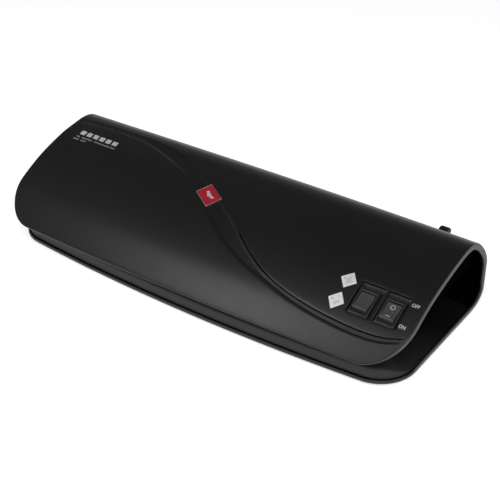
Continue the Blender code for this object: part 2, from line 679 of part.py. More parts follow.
def make_release(steel, polymer):
    """The jam release: a lever through the rear slot, its shaft, and one cam under each bush."""
    pivot = (0.0, RELEASE_POS[0], RELEASE_POS[1])
    rings = [(-123.4, 2.2), (-123.0, 2.5), (136.0, 2.5), (136.4, 2.2)]
    lathe("release_shaft", rings, RELEASE_POS, "X", steel, 24, pivot)
    tilt = math.radians(15.0)
    cy = RELEASE_POS[0] - CAM_OFFSET * math.cos(tilt)
    cz = RELEASE_POS[1] - CAM_OFFSET * math.sin(tilt)
    for side, x0, x1 in (("left", -121.7, -116.8), ("right", 110.8, 115.7)):
        cam = lathe(f"{side}_release_cam", [(x0, CAM_R), (x1, CAM_R)], (cy, cz), "X", polymer, 40, pivot)
        join(cam, lathe("hub", [(x0, 4.2), (x1, 4.2)], RELEASE_POS, "X", None, 24, pivot))
        cut(cam, lathe("bore", [(x0 - 2, 2.58), (x1 + 2, 2.58)], RELEASE_POS, "X", None, 24, pivot))
        shade_round(cam)
    y, z = RELEASE_POS
    outline = [
        (y - 5.0, z - 1.5), (y - 3.4, z - 4.2), (y, z - 5.2), (y + 4.0, z - 4.2), (y + 30.0, z + 4.6),
        (y + 41.0, z + 6.0), (72.0, z + 6.8), (72.0, z + 8.2), (71.0, z + 9.6), (68.5, z + 10.8),
        (64.5, z + 11.2), (y + 28.0, z + 9.2), (y + 3.4, z + 4.2), (y, z + 5.2), (y - 3.8, z + 3.8),
        (y - 5.2, z + 1.0),
    ]
    lever = prism_x("release_lever", outline, 128.4, 135.2, polymer, pivot)
    cut(lever, lathe("bore", [(120.0, 2.58), (140.0, 2.58)], RELEASE_POS, "X", None, 24, pivot))
    for k in range(4):
        at = 64.3 + 2.0 * k
        groove = box("groove", (126.0, at, z + 10.2), (137.0, at + 0.8, z + 14.0))
        cut(lever, groove)
    return lever


def make_board(laminate, relay, capacitor):
    board = box("control_board", (118.8, -31.0, 7.3), (133.2, 40.0, 8.9), laminate)
    for y, depth, high in ((-24.0, 9.0, 8.0), (18.0, 12.0, 6.0), (33.0, 4.0, 3.0)):
        join(board, box("block", (120.5, y, 8.5), (131.5, y + depth, 8.9 + high)))
    lathe("board_capacitor", [(9.2, 4.0), (20.0, 4.0), (20.6, 3.5)], (126.0, 8.0), "Z", capacitor, 20)
    box("board_relay", (120.2, -12.0, 9.2), (131.8, 2.0, 19.0), relay)
    return board


def make_switch(prefix, centre, body_mat, rocker_mat):
    """A small rocker switch: a flanged body with an open top, and a rocker on a pin line."""
    origin = SWITCH_ORIGIN
    angle = SWITCH_SLOPE
    lo = (centre - 7.3, -11.9, -3.0)
    hi = (centre + 7.3, 8.7, -1.4)
    body = tilted_box(f"{prefix}_switch_body", lo, hi, origin, angle, body_mat)
    lower = tilted_box("lower", (centre - 6.3, -10.9, -14.0), (centre + 6.3, 7.7, -2.6), origin, angle)
    join(body, lower)
    well = tilted_box("well", (centre - 5.5, -8.9, -9.0), (centre + 5.5, 5.7, 3.0), origin, angle)
    cut(body, well)
    for v in (-6.5, -1.6, 3.3):
        pin = tilted_box("pin", (centre - 2.4, v - 0.4, -19.5), (centre + 2.4, v + 0.4, -13.0), origin, angle)
        join(body, pin)
    c = math.cos(angle)
    s = math.sin(angle)
    mid = -1.6
    deep = -4.4
    pivot_y = origin[0] + mid * c - deep * s
    pivot_z = origin[1] + mid * s + deep * c
    outline = []
    for v, w in (
        (-6.9, -1.6), (-7.1, 0.0), (-6.9, 1.6), (-6.1, 3.7), (-3.5, 3.3), (0.0, 3.1), (3.5, 3.3),
        (6.1, 3.7), (6.9, 1.6), (7.1, 0.0), (6.9, -1.6), (2.0, -2.6), (-2.0, -2.6),
    ):
        rest = math.radians(-9.0)
        v2 = v * math.cos(rest) - w * math.sin(rest)
        w2 = v * math.sin(rest) + w * math.cos(rest)
        outline.append((pivot_y + v2 * c - w2 * s, pivot_z + v2 * s + w2 * c))
    pivot = (centre, pivot_y, pivot_z)
    rocker = prism_x(f"{prefix}_rocker", outline, centre - 5.15, centre + 5.15, rocker_mat, pivot)
    return body, rocker


def surface_point(x, y):
    """The cover's outer surface above a plan point."""
    z, slope = profile_at(y / (1 + cover_share(y) * (1 - (x / HALF_LENGTH) ** 2)))
    return z, slope


def patch(name, centre, sides, turn, lift, thick, mat, steps=3):
    """A thin plate that follows the cover, from a turned rectangle in plan."""
    verts = []
    c = math.cos(turn)
    s = math.sin(turn)
    for extra in (lift, lift + thick):
        for i in range(steps + 1):
            for k in range(steps + 1):
                a = sides[0] * (i / steps - 0.5)
                b = sides[1] * (k / steps - 0.5)
                x = centre[0] + a * c - b * s
                y = centre[1] + a * s + b * c
                z, slope = surface_point(x, y)
                verts.append((x, y, z + extra * math.sqrt(1 + slope**2)))
    n = steps + 1
    shift = n * n
    faces = []
    for i in range(steps):
        for k in range(steps):
            a = i * n + k
            faces.append((a, a + 1, a + n + 1, a + n))
            faces.append((shift + a, shift + a + n, shift + a + n + 1, shift + a + 1))
        for a, b in ((i * n, i * n + n), (i * n + steps, i * n + n + steps)):
            faces.append((a, b, shift + b, shift + a))
        for a in (i, steps * n + i):
            faces.append((a, a + 1, shift + a + 1, shift + a))
    return add(name, verts, faces, mat)


def main():
    clear_scene()
    shell = material("black_shell", BLACK, 0.42)
    base = material("black_base", BLACK, 0.5)
    cap = material("black_panel", (0.012, 0.012, 0.012), 0.6)
    rubber = material("foot_rubber", (0.02, 0.02, 0.02), 0.85)
    steel = material("zinc_steel", (0.55, 0.56, 0.57), 0.35, 1.0)
    bright = material("bright_steel", (0.68, 0.68, 0.7), 0.22, 1.0)
    silicone = material("silicone", (0.42, 0.08, 0.05), 0.6)
    polymer = material("white_polymer", (0.72, 0.7, 0.64), 0.45)
    aluminium = material("plate_aluminium", (0.72, 0.73, 0.74), 0.3, 1.0)
    ceramic = material("heater_strip", (0.5, 0.42, 0.28), 0.55)
    laminate = material("board_green", (0.03, 0.14, 0.06), 0.45)
    glossy = material("gloss_black", (0.015, 0.015, 0.016), 0.15)
    switch = material("switch_black", (0.02, 0.02, 0.021), 0.4)
    make_cover(shell)
    make_pan(base)
    make_tray(base)
    make_end_cap("right_end_cap", 1, cap)
    make_end_cap("left_end_cap", -1, cap)
    make_feet(rubber)
    make_side_frame("left_side_frame", *LEFT_FRAME_X, 1, steel)
    make_side_frame("right_side_frame", *RIGHT_FRAME_X, -1, steel)
    make_screws(bright)
    make_rollers(bright, silicone)
    make_bushes(polymer)
    make_springs(bright)
    make_gears(polymer, bright)
    make_motor(steel, steel)
    make_heaters(aluminium, ceramic, steel, polymer)
    make_release(bright, material("lever_black", BLACK, 0.5))
    make_board(laminate, glossy, material("capacitor_sleeve", (0.02, 0.03, 0.08), 0.3))
    make_switch("selector", 127.1, switch, glossy)
    make_switch("power", 146.6, switch, switch)
    gland = lathe("cord_gland", [(58.0, 3.9), (68.6, 3.9), (68.6, 5.4), (70.6, 5.0)], (-140.0, 18.0), "Y", rubber, 20)
    cut(gland, lathe("bore", [(50.0, 2.6), (80.0, 2.6)], (-140.0, 18.0), "Y", segments=16))
    patch("front_badge", (-19.6, -3.9), (18.0, 12.0), math.radians(-31.0), 0.35, 0.9, material("badge_red", RED, 0.3))
    white = material("label_white", (0.8, 0.8, 0.8), 0.5)
    patch("thick_pouch_label", (110.8, -27.6), (8.8, 8.4), math.radians(41.0), 0.35, 0.25, white)
    patch("thin_pouch_label", (110.5, -42.6), (8.8, 8.4), math.radians(41.0), 0.35, 0.25, white)


main()
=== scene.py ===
"""Looks of the pouch laminator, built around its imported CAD. Metres, +Z up, entry side towards -Y."""

import json
import math

import bmesh
import bpy
import numpy as np
from mathutils import Matrix, Vector


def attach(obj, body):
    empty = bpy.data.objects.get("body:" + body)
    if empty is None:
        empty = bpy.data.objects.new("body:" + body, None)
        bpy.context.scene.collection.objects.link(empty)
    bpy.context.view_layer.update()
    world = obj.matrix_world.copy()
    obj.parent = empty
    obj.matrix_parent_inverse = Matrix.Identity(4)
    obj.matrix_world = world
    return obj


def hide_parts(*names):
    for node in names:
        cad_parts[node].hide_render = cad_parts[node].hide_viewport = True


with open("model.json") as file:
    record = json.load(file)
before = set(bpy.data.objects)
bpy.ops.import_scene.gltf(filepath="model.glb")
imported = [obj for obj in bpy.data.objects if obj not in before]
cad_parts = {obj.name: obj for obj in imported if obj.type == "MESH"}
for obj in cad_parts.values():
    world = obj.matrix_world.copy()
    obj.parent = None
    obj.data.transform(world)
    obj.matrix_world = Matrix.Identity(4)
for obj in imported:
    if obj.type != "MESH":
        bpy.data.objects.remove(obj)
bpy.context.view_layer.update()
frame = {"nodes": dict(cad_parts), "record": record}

MM = 0.001
HALF = 167.5
BOW = 0.063
REAR_BOW = 0.045
PAN_BOW = 0.155
RIM_R = 0.55
PAN_R = 0.8
EDGE_R = 0.4
COVER_WALL = 2.6
COVER_FRONT = -67.73
COVER_CORNER = 27.0
PAN_FRONT = -58.5
PAN_CORNER = 25.0
PARTING_Z = 34.3
COVER_SECTION = [
    (-67.73, 19.9), (-63.0, 24.3), (-46.8, 37.2), (-21.8, 50.0), (3.2, 57.9), (24.0, 62.3),
    (32.0, 62.8), (38.8, 61.9), (46.0, 58.2), (53.2, 51.7), (60.0, 43.4), (63.7, 35.5), (63.8, PARTING_Z),
]
PAN_SECTION = [
    (-58.5, 1.5), (-20.0, 1.5), (20.0, 1.5), (44.0, 1.5), (51.5, 2.1), (57.5, 4.1), (62.0, 7.6),
    (63.9, 12.5), (63.9, 23.0), (63.9, 34.26),
]
BAND_LOW = [
    (-167.5, 23.3), (-146.0, 25.4), (-128.0, 26.6), (-107.0, 26.4), (-91.0, 23.8), (-78.0, 19.4),
    (-62.0, 13.6), (-48.0, 7.6), (-32.0, -1.8), (-15.5, -14.0), (9.0, -30.2), (33.5, -41.2),
    (57.0, -47.4), (84.0, -53.2), (116.0, -56.2), (145.0, -55.8), (167.5, -50.4),
]
BAND_HIGH = [
    (-167.5, 24.9), (-146.0, 27.6), (-128.0, 29.5), (-107.0, 31.0), (-91.0, 30.6), (-78.0, 28.2),
    (-64.0, 24.0), (-48.0, 17.6), (-32.0, 9.0), (-15.5, -0.4), (9.0, -15.4), (30.5, -30.4),
    (52.5, -42.0), (76.0, -49.4), (98.0, -53.8), (130.0, -56.4), (150.0, -55.0), (167.5, -49.6),
]
SWITCH_SLOPE = math.radians(27.1)
SWITCH_ORIGIN = (-35.05, 44.1)
SWITCHES = {"selector": 127.1, "power": 146.6}
WELLS = ((119.2, 138.0), (139.0, 156.0))
WELL_V = 12.1
WELL_FLOOR = -3.3
POCKET = (116.6, 157.3, 14.6, -5.7)
LEVER_SLOT = (127.6, 136.0, 52.5)
PAN_LEVER_Z = 20.4
GROOVE_SHADE_X = (20.0, 163.0)
# X span of the groove whose floor gets the inner material: painted shade in the crease.
EXIT_SLOT = (-118.0, 114.0, 26.0)
CORD_HOLE = (-140.0, 18.0)
CORD_HOLE_HALF = 3
FAN_START = 100.0  # columns beyond this X fan out towards the rounded corner
ARC_START = 158.0  # columns beyond this X also follow the corner's arc
COVER_RIM = (4.7, 2.2)  # depth and width of the thickened border
PAN_WALL = 2.4
PAN_RIM = (2.8, 1.6)
RIDGE_DROP = 1.1  # how much lower the top is at the left end
LEAN_X = 2.4
LEAN_Y = 1.8
TRAY_REAR = 45.5
KEY_PIVOT = (-1.6, -4.4)
KEY_REST = math.radians(-9.0)
LEVER_PIVOT = (30.0, 35.0)
PRINT_LIFT = 0.02
INK_THICK = 0.03
TONE_DRIFT_MM = 60.0
GLOSS_DRIFT_MM = 9.0
# Painted shade on the tray: its colour goes from the lit front to black under the cover.
TRAY_SHADE_M = (-0.060, 0.012)  # from the front of the tray to where it is all in shade
CORNERS = [(-1, -1), (1, -1), (1, 1), (-1, 1)]
FLOOR_HALF = 6.0
FLOOR_GLOW = 0.62
CAMERA_TURN = 34.75
CAMERA_RISE = 33.26
CAMERA_LENS = 87.86
CAMERA_AT = (0.43057, -0.6015, 0.50021)


# ---------------------------------------------------------------- materials

def add(tree, kind, links=None, values=None):
    """A shader node with some inputs linked from outputs and some set to values."""
    made = tree.nodes.new("ShaderNode" + kind)
    for socket, value in (values or {}).items():
        made.inputs[socket].default_value = value
    for socket, source in (links or {}).items():
        tree.links.new(source, made.inputs[socket])
    return made


def nodes_of(name, colour, roughness, metallic=0.0, specular=0.5):
    """A new material with its node tree and its shader."""
    made = bpy.data.materials.new(name)
    made.use_nodes = True
    shader = made.node_tree.nodes["Principled BSDF"]
    shader.inputs["Base Color"].default_value = (*colour, 1.0)
    shader.inputs["Roughness"].default_value = roughness
    shader.inputs["Metallic"].default_value = metallic
    shader.inputs["Specular IOR Level"].default_value = specular
    made.diffuse_color = (*colour, 1.0)
    return made, made.node_tree, shader


def place(tree, stretch=(1.0, 1.0, 1.0)):
    """Object coordinates in metres, stretched along each axis."""
    coords = add(tree, "TexCoord")
    return add(tree, "Mapping", {"Vector": coords.outputs["Object"]}, {"Scale": stretch}).outputs["Vector"]


def noise(tree, vector, size_mm, detail=2.0, rough=0.5):
    values = {"Scale": 1.0 / (size_mm * MM), "Detail": detail, "Roughness": rough}
    return add(tree, "TexNoise", {"Vector": vector}, values).outputs["Fac"]


def spread(tree, value, low, high, start=0.3, end=0.7):
    """The value's range from start to end, mapped to low to high."""
    values = {"From Min": start, "From Max": end, "To Min": low, "To Max": high}
    return add(tree, "MapRange", {"Value": value}, values).outputs["Result"]


def tint(tree, value, dark, light):
    made = tree.nodes.new("ShaderNodeMix")
    made.data_type = "RGBA"
    made.inputs["A"].default_value = (*dark, 1.0)
    made.inputs["B"].default_value = (*light, 1.0)
    tree.links.new(value, made.inputs["Factor"])
    return made.outputs["Result"]


def bump(tree, shader, height, depth_mm):
    made = add(tree, "Bump", {"Height": height}, {"Distance": depth_mm * MM, "Strength": 1.0})
    tree.links.new(made.outputs["Normal"], shader.inputs["Normal"])


def grey(level, blue=None):
    """A colour with equal channels, or with only its blue set apart."""
    return level, level, blue or level


def moulded(name, dark, light, rough, grain_mm, depth_mm, specular=0.5):
    """Spark-textured moulding: a fine grain, with slow drifts of gloss and tone."""
    made, tree, shader = nodes_of(name, dark, 0.5 * sum(rough), 0.0, specular)
    vector = place(tree)
    drift = noise(tree, vector, TONE_DRIFT_MM, 3.0)
    gloss = noise(tree, vector, GLOSS_DRIFT_MM, 4.0)
    tree.links.new(tint(tree, spread(tree, drift, 0.0, 1.0), dark, light), shader.inputs["Base Color"])
    tree.links.new(spread(tree, gloss, *rough), shader.inputs["Roughness"])
    bump(tree, shader, noise(tree, vector, grain_mm), depth_mm)
    return made


def brushed(name, dark, light, rough, stretch, depth_mm=0.004):
    """Drawn or rolled metal: fine lines along the axis that is stretched least."""
    made, tree, shader = nodes_of(name, light, rough, 1.0)
    vector = place(tree, stretch)
    lines = noise(tree, vector, 1.2, 4.0, 0.6)
    tree.links.new(tint(tree, spread(tree, lines, 0.0, 1.0), dark, light), shader.inputs["Base Color"])
    tree.links.new(spread(tree, lines, rough - 0.07, rough + 0.1), shader.inputs["Roughness"])
    bump(tree, shader, lines, depth_mm)
    return made


MATERIALS = {
    "shell": moulded("shell_plastic", grey(0.0038, 0.004), grey(0.0052, 0.0054), (0.37, 0.40), 0.85, 0.026),
    # Painted shade: the inner material is near black and reflects nothing, so the hollows inside the
    # mouldings stay dark.
    "inner": moulded("inner_painted_shade", grey(0.0012), grey(0.0018), (0.62, 0.72), 0.7, 0.02, 0.0),
    # Painted highlight: the edge material is lighter than the shell, for the end faces that would reflect the
    # bright floor.
    "edge": moulded("edge_painted_highlight", grey(0.008), grey(0.013), (0.38, 0.46), 0.6, 0.012, 0.4),
    "casing": moulded("casing_plastic", grey(0.005), grey(0.007), (0.40, 0.46), 0.6, 0.012),
    # Painted shade: the end panels are near black and reflect nothing, as the deep open ends lie in shade.
    "end_panel": moulded("end_panel_painted_shade", grey(0.0012), grey(0.0018), (0.55, 0.65), 0.7, 0.02, 0.0),
    "foot_rubber": moulded("foot_rubber", grey(0.012), grey(0.02), (0.75, 0.9), 0.8, 0.03, 0.3),
    "lever_black": moulded("lever_plastic", grey(0.004), grey(0.006), (0.5, 0.6), 0.6, 0.012, 0.25),
    "switch_black": moulded(
        "switch_plastic", grey(0.01, 0.0105), grey(0.014, 0.0145), (0.30, 0.38), 0.3, 0.006),
    # Painted reflection: the rocker colours are lighter than the black mouldings, standing in for their
    # sheen.
    "rocker_black": moulded(
        "rocker_plastic", grey(0.05, 0.0505), grey(0.07, 0.0705), (0.26, 0.34), 0.4, 0.012),
    "gloss_black": moulded("gloss_plastic", grey(0.055, 0.056), grey(0.07, 0.071), (0.16, 0.22), 2.0, 0.002),
    "relay_black": moulded("relay_plastic", grey(0.01, 0.011), grey(0.014, 0.015), (0.16, 0.24), 1.5, 0.004),
    "capacitor_sleeve": moulded(
        "capacitor_sleeve", (0.012, 0.02, 0.06), (0.02, 0.03, 0.09), (0.22, 0.32), 1.5, 0.004),
    "board_green": moulded("board_green", (0.02, 0.11, 0.045), (0.03, 0.16, 0.07), (0.35, 0.5), 1.2, 0.01),
    "white_polymer": moulded("white_polymer", (0.64, 0.62, 0.56), (0.72, 0.70, 0.64), (0.38, 0.5), 1.0, 0.01),
    "silicone": moulded("silicone", (0.34, 0.05, 0.03), (0.42, 0.08, 0.05), (0.5, 0.65), 0.8, 0.015),
    "heater_strip": moulded("heater_strip", (0.42, 0.32, 0.18), (0.5, 0.4, 0.25), (0.4, 0.55), 1.5, 0.02),
    "badge_red": moulded("badge_red", (0.36, 0.010, 0.020), (0.44, 0.016, 0.030), (0.22, 0.30), 1.5, 0.002),
    "badge_frame": brushed(
        "badge_frame", (0.40, 0.30, 0.31), (0.56, 0.42, 0.43), 0.34, (1.0, 1.0, 1.0), 0.002),
    "label_white": moulded("label_white", grey(0.7, 0.72), grey(0.8, 0.81), (0.4, 0.5), 0.8, 0.004),
    "label_ink": moulded("label_ink", (0.26, 0.28, 0.36), (0.34, 0.36, 0.44), (0.45, 0.55), 0.8, 0.004),
    "white_ink": moulded("white_ink", grey(0.5), grey(0.58), (0.45, 0.55), 0.6, 0.004),
    "grey_ink": moulded("grey_ink", grey(0.26), grey(0.32), (0.45, 0.55), 0.6, 0.004),
    "zinc_steel": brushed("zinc_steel", (0.42, 0.43, 0.44), (0.58, 0.59, 0.60), 0.38, (1.0, 3.0, 3.0)),
    "bright_steel": brushed("bright_steel", grey(0.55, 0.57), grey(0.7, 0.72), 0.24, (0.2, 3.0, 3.0)),
    "plate_aluminium": brushed(
        "plate_aluminium", (0.60, 0.61, 0.62), (0.74, 0.75, 0.76), 0.32, (0.1, 3.0, 3.0)),
}


def tray_painted_light():
    """The casing plastic with painted light: a painted reflection lightens the tray's front, and painted
    shade falls to a matt black as the tray runs in under the cover.
    """
    made, tree, shader = nodes_of("tray_painted_light", grey(0.006), 0.43, 0.0, 0.16)
    vector = place(tree)
    split = add(tree, "SeparateXYZ", {"Vector": vector})
    shade = spread(tree, split.outputs["Y"], 1.0, 0.0, *TRAY_SHADE_M)
    # Painted light: grey(0.038) is the painted reflection at the front, grey(0.001) the painted shade under
    # the cover.
    tree.links.new(tint(tree, shade, grey(0.001), grey(0.038)), shader.inputs["Base Color"])
    tree.links.new(spread(tree, shade, 0.9, 0.43, 0.0, 1.0), shader.inputs["Roughness"])
    bump(tree, shader, noise(tree, vector, 0.6), 0.012)
    return made


MATERIALS["tray"] = tray_painted_light()


# ---------------------------------------------------------------- curves and grids (millimetres)

def spline(points, per_span=24):
    """Points of a smooth curve through the given ones."""
    p = np.array(points, float)
    ends = np.vstack([2 * p[0] - p[1], p, 2 * p[-1] - p[-2]])
    out = []
    for i in range(1, len(ends) - 2):
        t = np.linspace(0.0, 1.0, per_span, endpoint=False)[:, None]
        a, b, c, d = ends[i - 1], ends[i], ends[i + 1], ends[i + 2]
        out.append(b + 0.5 * t * (c - a + t * (2 * a - 5 * b + 4 * c - d + t * (3 * (b - c) + d - a))))
    return np.vstack(out + [p[-1:]])


def even(points, count, soften=0.0):
    """The curve resampled at even lengths, with its kinks softened over that many millimetres."""
    run = np.concatenate([[0.0], np.cumsum(np.linalg.norm(np.diff(points, axis=0), axis=1))])
    want = np.linspace(0.0, run[-1], count)
    made = np.column_stack([np.interp(want, run, points[:, k]) for k in range(points.shape[1])])
    if soften:
        step = run[-1] / (count - 1)
        reach = int(3 * soften / step)
        weights = np.exp(-0.5 * (np.arange(-reach, reach + 1) * step / soften) ** 2)
        weights /= weights.sum()
        head = 2 * made[0] - made[reach:0:-1]
        tail = 2 * made[-1] - made[-2:-reach - 2:-1]
        long = np.vstack([head, made, tail])
        made = np.column_stack([np.convolve(long[:, k], weights, "valid") for k in range(made.shape[1])])
    return made


def smoothstep(x, a, b):
    t = min(max((x - a) / (b - a), 0.0), 1.0)
    return t * t * (3 - 2 * t)


class Section:
    """A shell's cross-section: height against depth and length along it, bowed in plan along X."""

    def __init__(self, points, soften, front_bow, front, corner):
        curve = even(spline(points), 900, soften)
        self.y = np.maximum.accumulate(curve[:, 0] + np.arange(len(curve)) * 1e-7)
        self.z = curve[:, 1]
        self.s = np.concatenate([[0.0], np.cumsum(np.hypot(np.diff(self.y), np.diff(self.z)))])
        self.front_bow = front_bow
        self.front = front
        self.corner = corner

    def bow(self, x, y_end):
        share = np.where(y_end < 0, self.front_bow, REAR_BOW)
        return y_end * (1 + share * (1 - (x / HALF) ** 2))

    def at(self, x, s):
        y_end = np.interp(s, self.s, self.y)
        return self.bow(x, y_end), np.interp(s, self.s, self.z)

    def s_of_y(self, x, y):
        return np.interp(y, self.bow(x, self.y), self.s)

    def y_of(self, s):
        return float(np.interp(s, self.s, self.y))

    def z_of(self, s):
        return float(np.interp(s, self.s, self.z))

    def s_at(self, y_end):
        return float(np.interp(y_end, self.y, self.s))

    def start(self, x, inset):
        """Where the plan outline, moved in by inset, crosses X in front: its end-section depth."""
        centre = HALF - self.corner
        radius = self.corner - inset
        if abs(x) <= centre:
            return self.front + inset
        return self.front + self.corner - math.sqrt(max(radius**2 - (abs(x) - centre) ** 2, 0.0))

    def column(self, c, inset, y_end):
        """X of a column at an end-section depth: columns fan in towards the rounded corner."""
        edge = HALF - inset
        centre = HALF - self.corner
        radius = self.corner - inset
        turn = math.sqrt(0.5) * radius
        x45 = centre + turn
        y45 = self.front + self.corner - turn
        t = min(max((abs(c) - FAN_START) / (edge - FAN_START), 0.0), 1.0)
        k = (edge - FAN_START) / (x45 - FAN_START)
        first = abs(c) if abs(c) < FAN_START else FAN_START + (x45 - FAN_START) * (k * t + (1 - k) * t * t)
        depth = min(max(self.front + self.corner - y_end, 0.0), turn)
        arc = (centre + math.sqrt(radius**2 - depth**2) - x45) / (edge - x45)
        plain = smoothstep(y_end, y45, y45 + 9.5)
        share = min(max((abs(c) - ARC_START) / (edge - ARC_START), 0.0), 1.0)
        q = plain * (1 - share) + arc * share if y_end > y45 else 0.0
        return math.copysign(first + (abs(c) - first) * q, c)


COVER = Section(COVER_SECTION, 2.4, BOW, COVER_FRONT, COVER_CORNER)
PAN = Section(PAN_SECTION, 1.6, PAN_BOW, PAN_FRONT, PAN_CORNER)


def linked(name, data):
    """An object in the scene that holds the data."""
    obj = bpy.data.objects.new(name, data)
    bpy.context.scene.collection.objects.link(obj)
    return obj


def new_piece(name, verts, faces, body, slot, nodes, mat=None, angle=38.0, inner=None):
    """One visible piece from millimetre points, riding on a body and standing for CAD nodes.
    inner flags the faces that get the inner material, painted shade inside the hollows. Of the others, those
    that face along X get the edge material, a painted highlight."""
    mesh = bpy.data.meshes.new(name)
    mesh.from_pydata([tuple(float(a) * MM for a in v) for v in verts], [], [tuple(f) for f in faces])
    if inner is not None:
        for face, inside in zip(mesh.polygons, inner):
            face.material_index = int(inside)
    tool = bmesh.new()
    tool.from_mesh(mesh)
    bmesh.ops.remove_doubles(tool, verts=tool.verts, dist=1e-8)
    bmesh.ops.dissolve_degenerate(tool, dist=1e-8, edges=tool.edges)
    bmesh.ops.recalc_face_normals(tool, faces=tool.faces)
    tool.to_mesh(mesh)
    tool.free()
    mesh.validate()
    for face in mesh.polygons:
        face.use_smooth = True
        # Faces that look along X get the edge material: painted highlight.
        if inner is not None and face.material_index == 0 and abs(face.normal.x) > 0.85:
            face.material_index = 2
    mesh.set_sharp_from_angle(angle=math.radians(angle))
    mesh.materials.append(MATERIALS[mat or slot])
    if inner is not None:
        mesh.materials.append(MATERIALS["inner"])
        mesh.materials.append(MATERIALS["edge"])
    obj = linked(name, mesh)
    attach(obj, body)
    if nodes:
        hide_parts(*nodes)


def join_mesh(parts):
    """Several (verts, faces) lists as one."""
    verts, faces = [], []
    for v, f in parts:
        base = len(verts)
        verts += [tuple(p) for p in v]
        faces += [tuple(base + i for i in face) for face in f]
    return verts, faces


def grid_normals(points):
    """Unit normals of a grid of points, pointing out of the shell (rows run back, columns run right)."""
    du = np.gradient(points, axis=1)
    dv = np.gradient(points, axis=0)
    n = np.cross(du, dv)
    return n / np.maximum(np.linalg.norm(n, axis=2, keepdims=True), 1e-12)


def loops_of(kept):
    """Boundary loops of the kept cells of a grid, as lists of (row, column), kept cells on the left."""
    rows, cols = kept.shape
    follow = {}
    for r in range(rows):
        for c in range(cols):
            if not kept[r, c]:
                continue
            for a, b, nr, nc in (
                ((r, c), (r, c + 1), r - 1, c), ((r, c + 1), (r + 1, c + 1), r, c + 1),
                ((r + 1, c + 1), (r + 1, c), r + 1, c), ((r + 1, c), (r, c), r, c - 1),
            ):
                if not (0 <= nr < rows and 0 <= nc < cols and kept[nr, nc]):
                    follow[a] = b
    loops = []
    while follow:
        first = next(iter(follow))
        loop = [first]
        nxt = follow.pop(first)
        while nxt != first:
            loop.append(nxt)
            nxt = follow.pop(nxt)
        loops.append(loop)
    return loops


def outward(points, normals, radii):
    """In-surface offsets of a loop: each vertex moves out by its edges' radii, mitred at corners."""
    ahead = np.roll(points, -1, axis=0) - points
    ahead /= np.maximum(np.linalg.norm(ahead, axis=1, keepdims=True), 1e-12)
    behind = np.roll(ahead, 1, axis=0)
    o1 = np.cross(behind, normals)
    o2 = np.cross(ahead, normals)
    o1 /= np.linalg.norm(o1, axis=1, keepdims=True)
    o2 /= np.linalg.norm(o2, axis=1, keepdims=True)
    r1 = np.roll(radii, 1)[:, None]
    r2 = radii[:, None]
    d = (o1 * o2).sum(axis=1, keepdims=True)
    safe = np.where(d < 0.8, 1 - d * d, 1.0)
    sharp = ((r1 - r2 * d) * o1 + (r2 - r1 * d) * o2) / safe
    soft = (o1 + o2) / np.maximum(1 + d, 0.2) * 0.5 * (r1 + r2)
    return np.where(d < 0.8, sharp, soft)


def strip(first, second, flip=False):
    """Faces between two index loops of equal length."""
    n = len(first)
    made = [(first[i], first[(i + 1) % n], second[(i + 1) % n], second[i]) for i in range(n)]
    return [f[::-1] for f in made] if flip else made


def outer_cell(a, cols):
    return a, a + 1, a + cols + 1, a + cols


def inner_cell(a, cols):
    return a, a + cols, a + cols + 1, a + 1


def cell_middles(points):
    return 0.25 * (points[:-1, :-1] + points[1:, :-1] + points[:-1, 1:] + points[1:, 1:])


def add_ring(verts, faces, last, ring, flip=False):
    """Adds a ring of points and the faces that join it to the last ring. Returns its indices."""
    now = list(range(len(verts), len(verts) + len(ring)))
    verts += [tuple(p) for p in ring]
    faces += strip(last, now, flip)
    return now


def two_skins(kept, base):
    """Faces of a grid's kept cells and of the same cells of its inner skin, whose vertices start at base."""
    cols = kept.shape[1] + 1
    faces = []
    for r, c in np.argwhere(kept):
        a = int(r * cols + c)
        faces += [outer_cell(a, cols), inner_cell(base + a, cols)]
    return faces


def shell(points, kept, wall, radius_of, rim):
    """A closed shell under a grid of outer points, with a rounded rim swept along every open edge.
    radius_of gives the fillet radius of the edge from one grid vertex to the next. rim is the depth and
    width of a thickened border, and a function giving how much of it there is at a grid vertex."""
    high, inward, share = rim
    _, cols, _ = points.shape
    normals = grid_normals(points)
    verts = [tuple(p) for p in points.reshape(-1, 3)]
    base = len(verts)
    inner_rows = (points - wall * normals).reshape(-1, 3)
    faces = []
    rings_added = []
    for loop in loops_of(kept):
        index = np.array([r * cols + c for r, c in loop])
        p = points.reshape(-1, 3)[index]
        n = normals.reshape(-1, 3)[index]
        radii = np.array([radius_of(a, b) for a, b in zip(loop, loop[1:] + loop[:1])])
        out = outward(p, n, radii)
        mean = 0.5 * (radii + np.roll(radii, 1))[:, None]
        rings = []
        for k in range(1, 5):
            a = math.pi * k / 8
            rings.append(p + out * math.sin(a) - n * mean * (1 - math.cos(a)))
        lift = np.array([share(a) for a in loop])[:, None]
        depth = wall + (high - wall) * lift
        for k in range(4, -1, -1):
            a = math.pi * k / 8
            rings.append(p + out * math.sin(a) - n * (depth - mean * (1 - math.cos(a))))
        shift = -out / np.maximum(mean, 1e-6) * (inward - mean) * np.minimum(lift, 1.0)
        rings.append(p + 0.8 * shift - n * depth)
        rings.append(p + shift - n * (depth - 0.2 * (depth - wall)))
        inner_rows[index] += shift
        rings_added.append((index, rings))
    verts += [tuple(p) for p in inner_rows]
    for index, rings in rings_added:
        last = [int(i) for i in index]
        for ring in rings:
            last = add_ring(verts, faces, last, ring, True)
        faces += strip(last, [int(i) + base for i in index], True)
    return verts, faces + two_skins(kept, base)


# ---------------------------------------------------------------- the cover

def with_lines(values, lines, gap=0.5):
    """Grid lines at the wanted places, with evenly spread ones that come too near them left out."""
    kept = [v for v in values if min(abs(v - at) for at in lines) > gap]
    return sorted(kept + list(lines))


LOW_LINE = even(spline(BAND_LOW), 700, 3.0)
HIGH_LINE = even(spline(BAND_HIGH), 700, 3.0)


def line_y(line, x):
    return float(np.interp(x, line[:, 0], line[:, 1]))


def line_slope(line, x):
    return (line_y(line, x + 1.0) - line_y(line, x - 1.0)) / 2.0


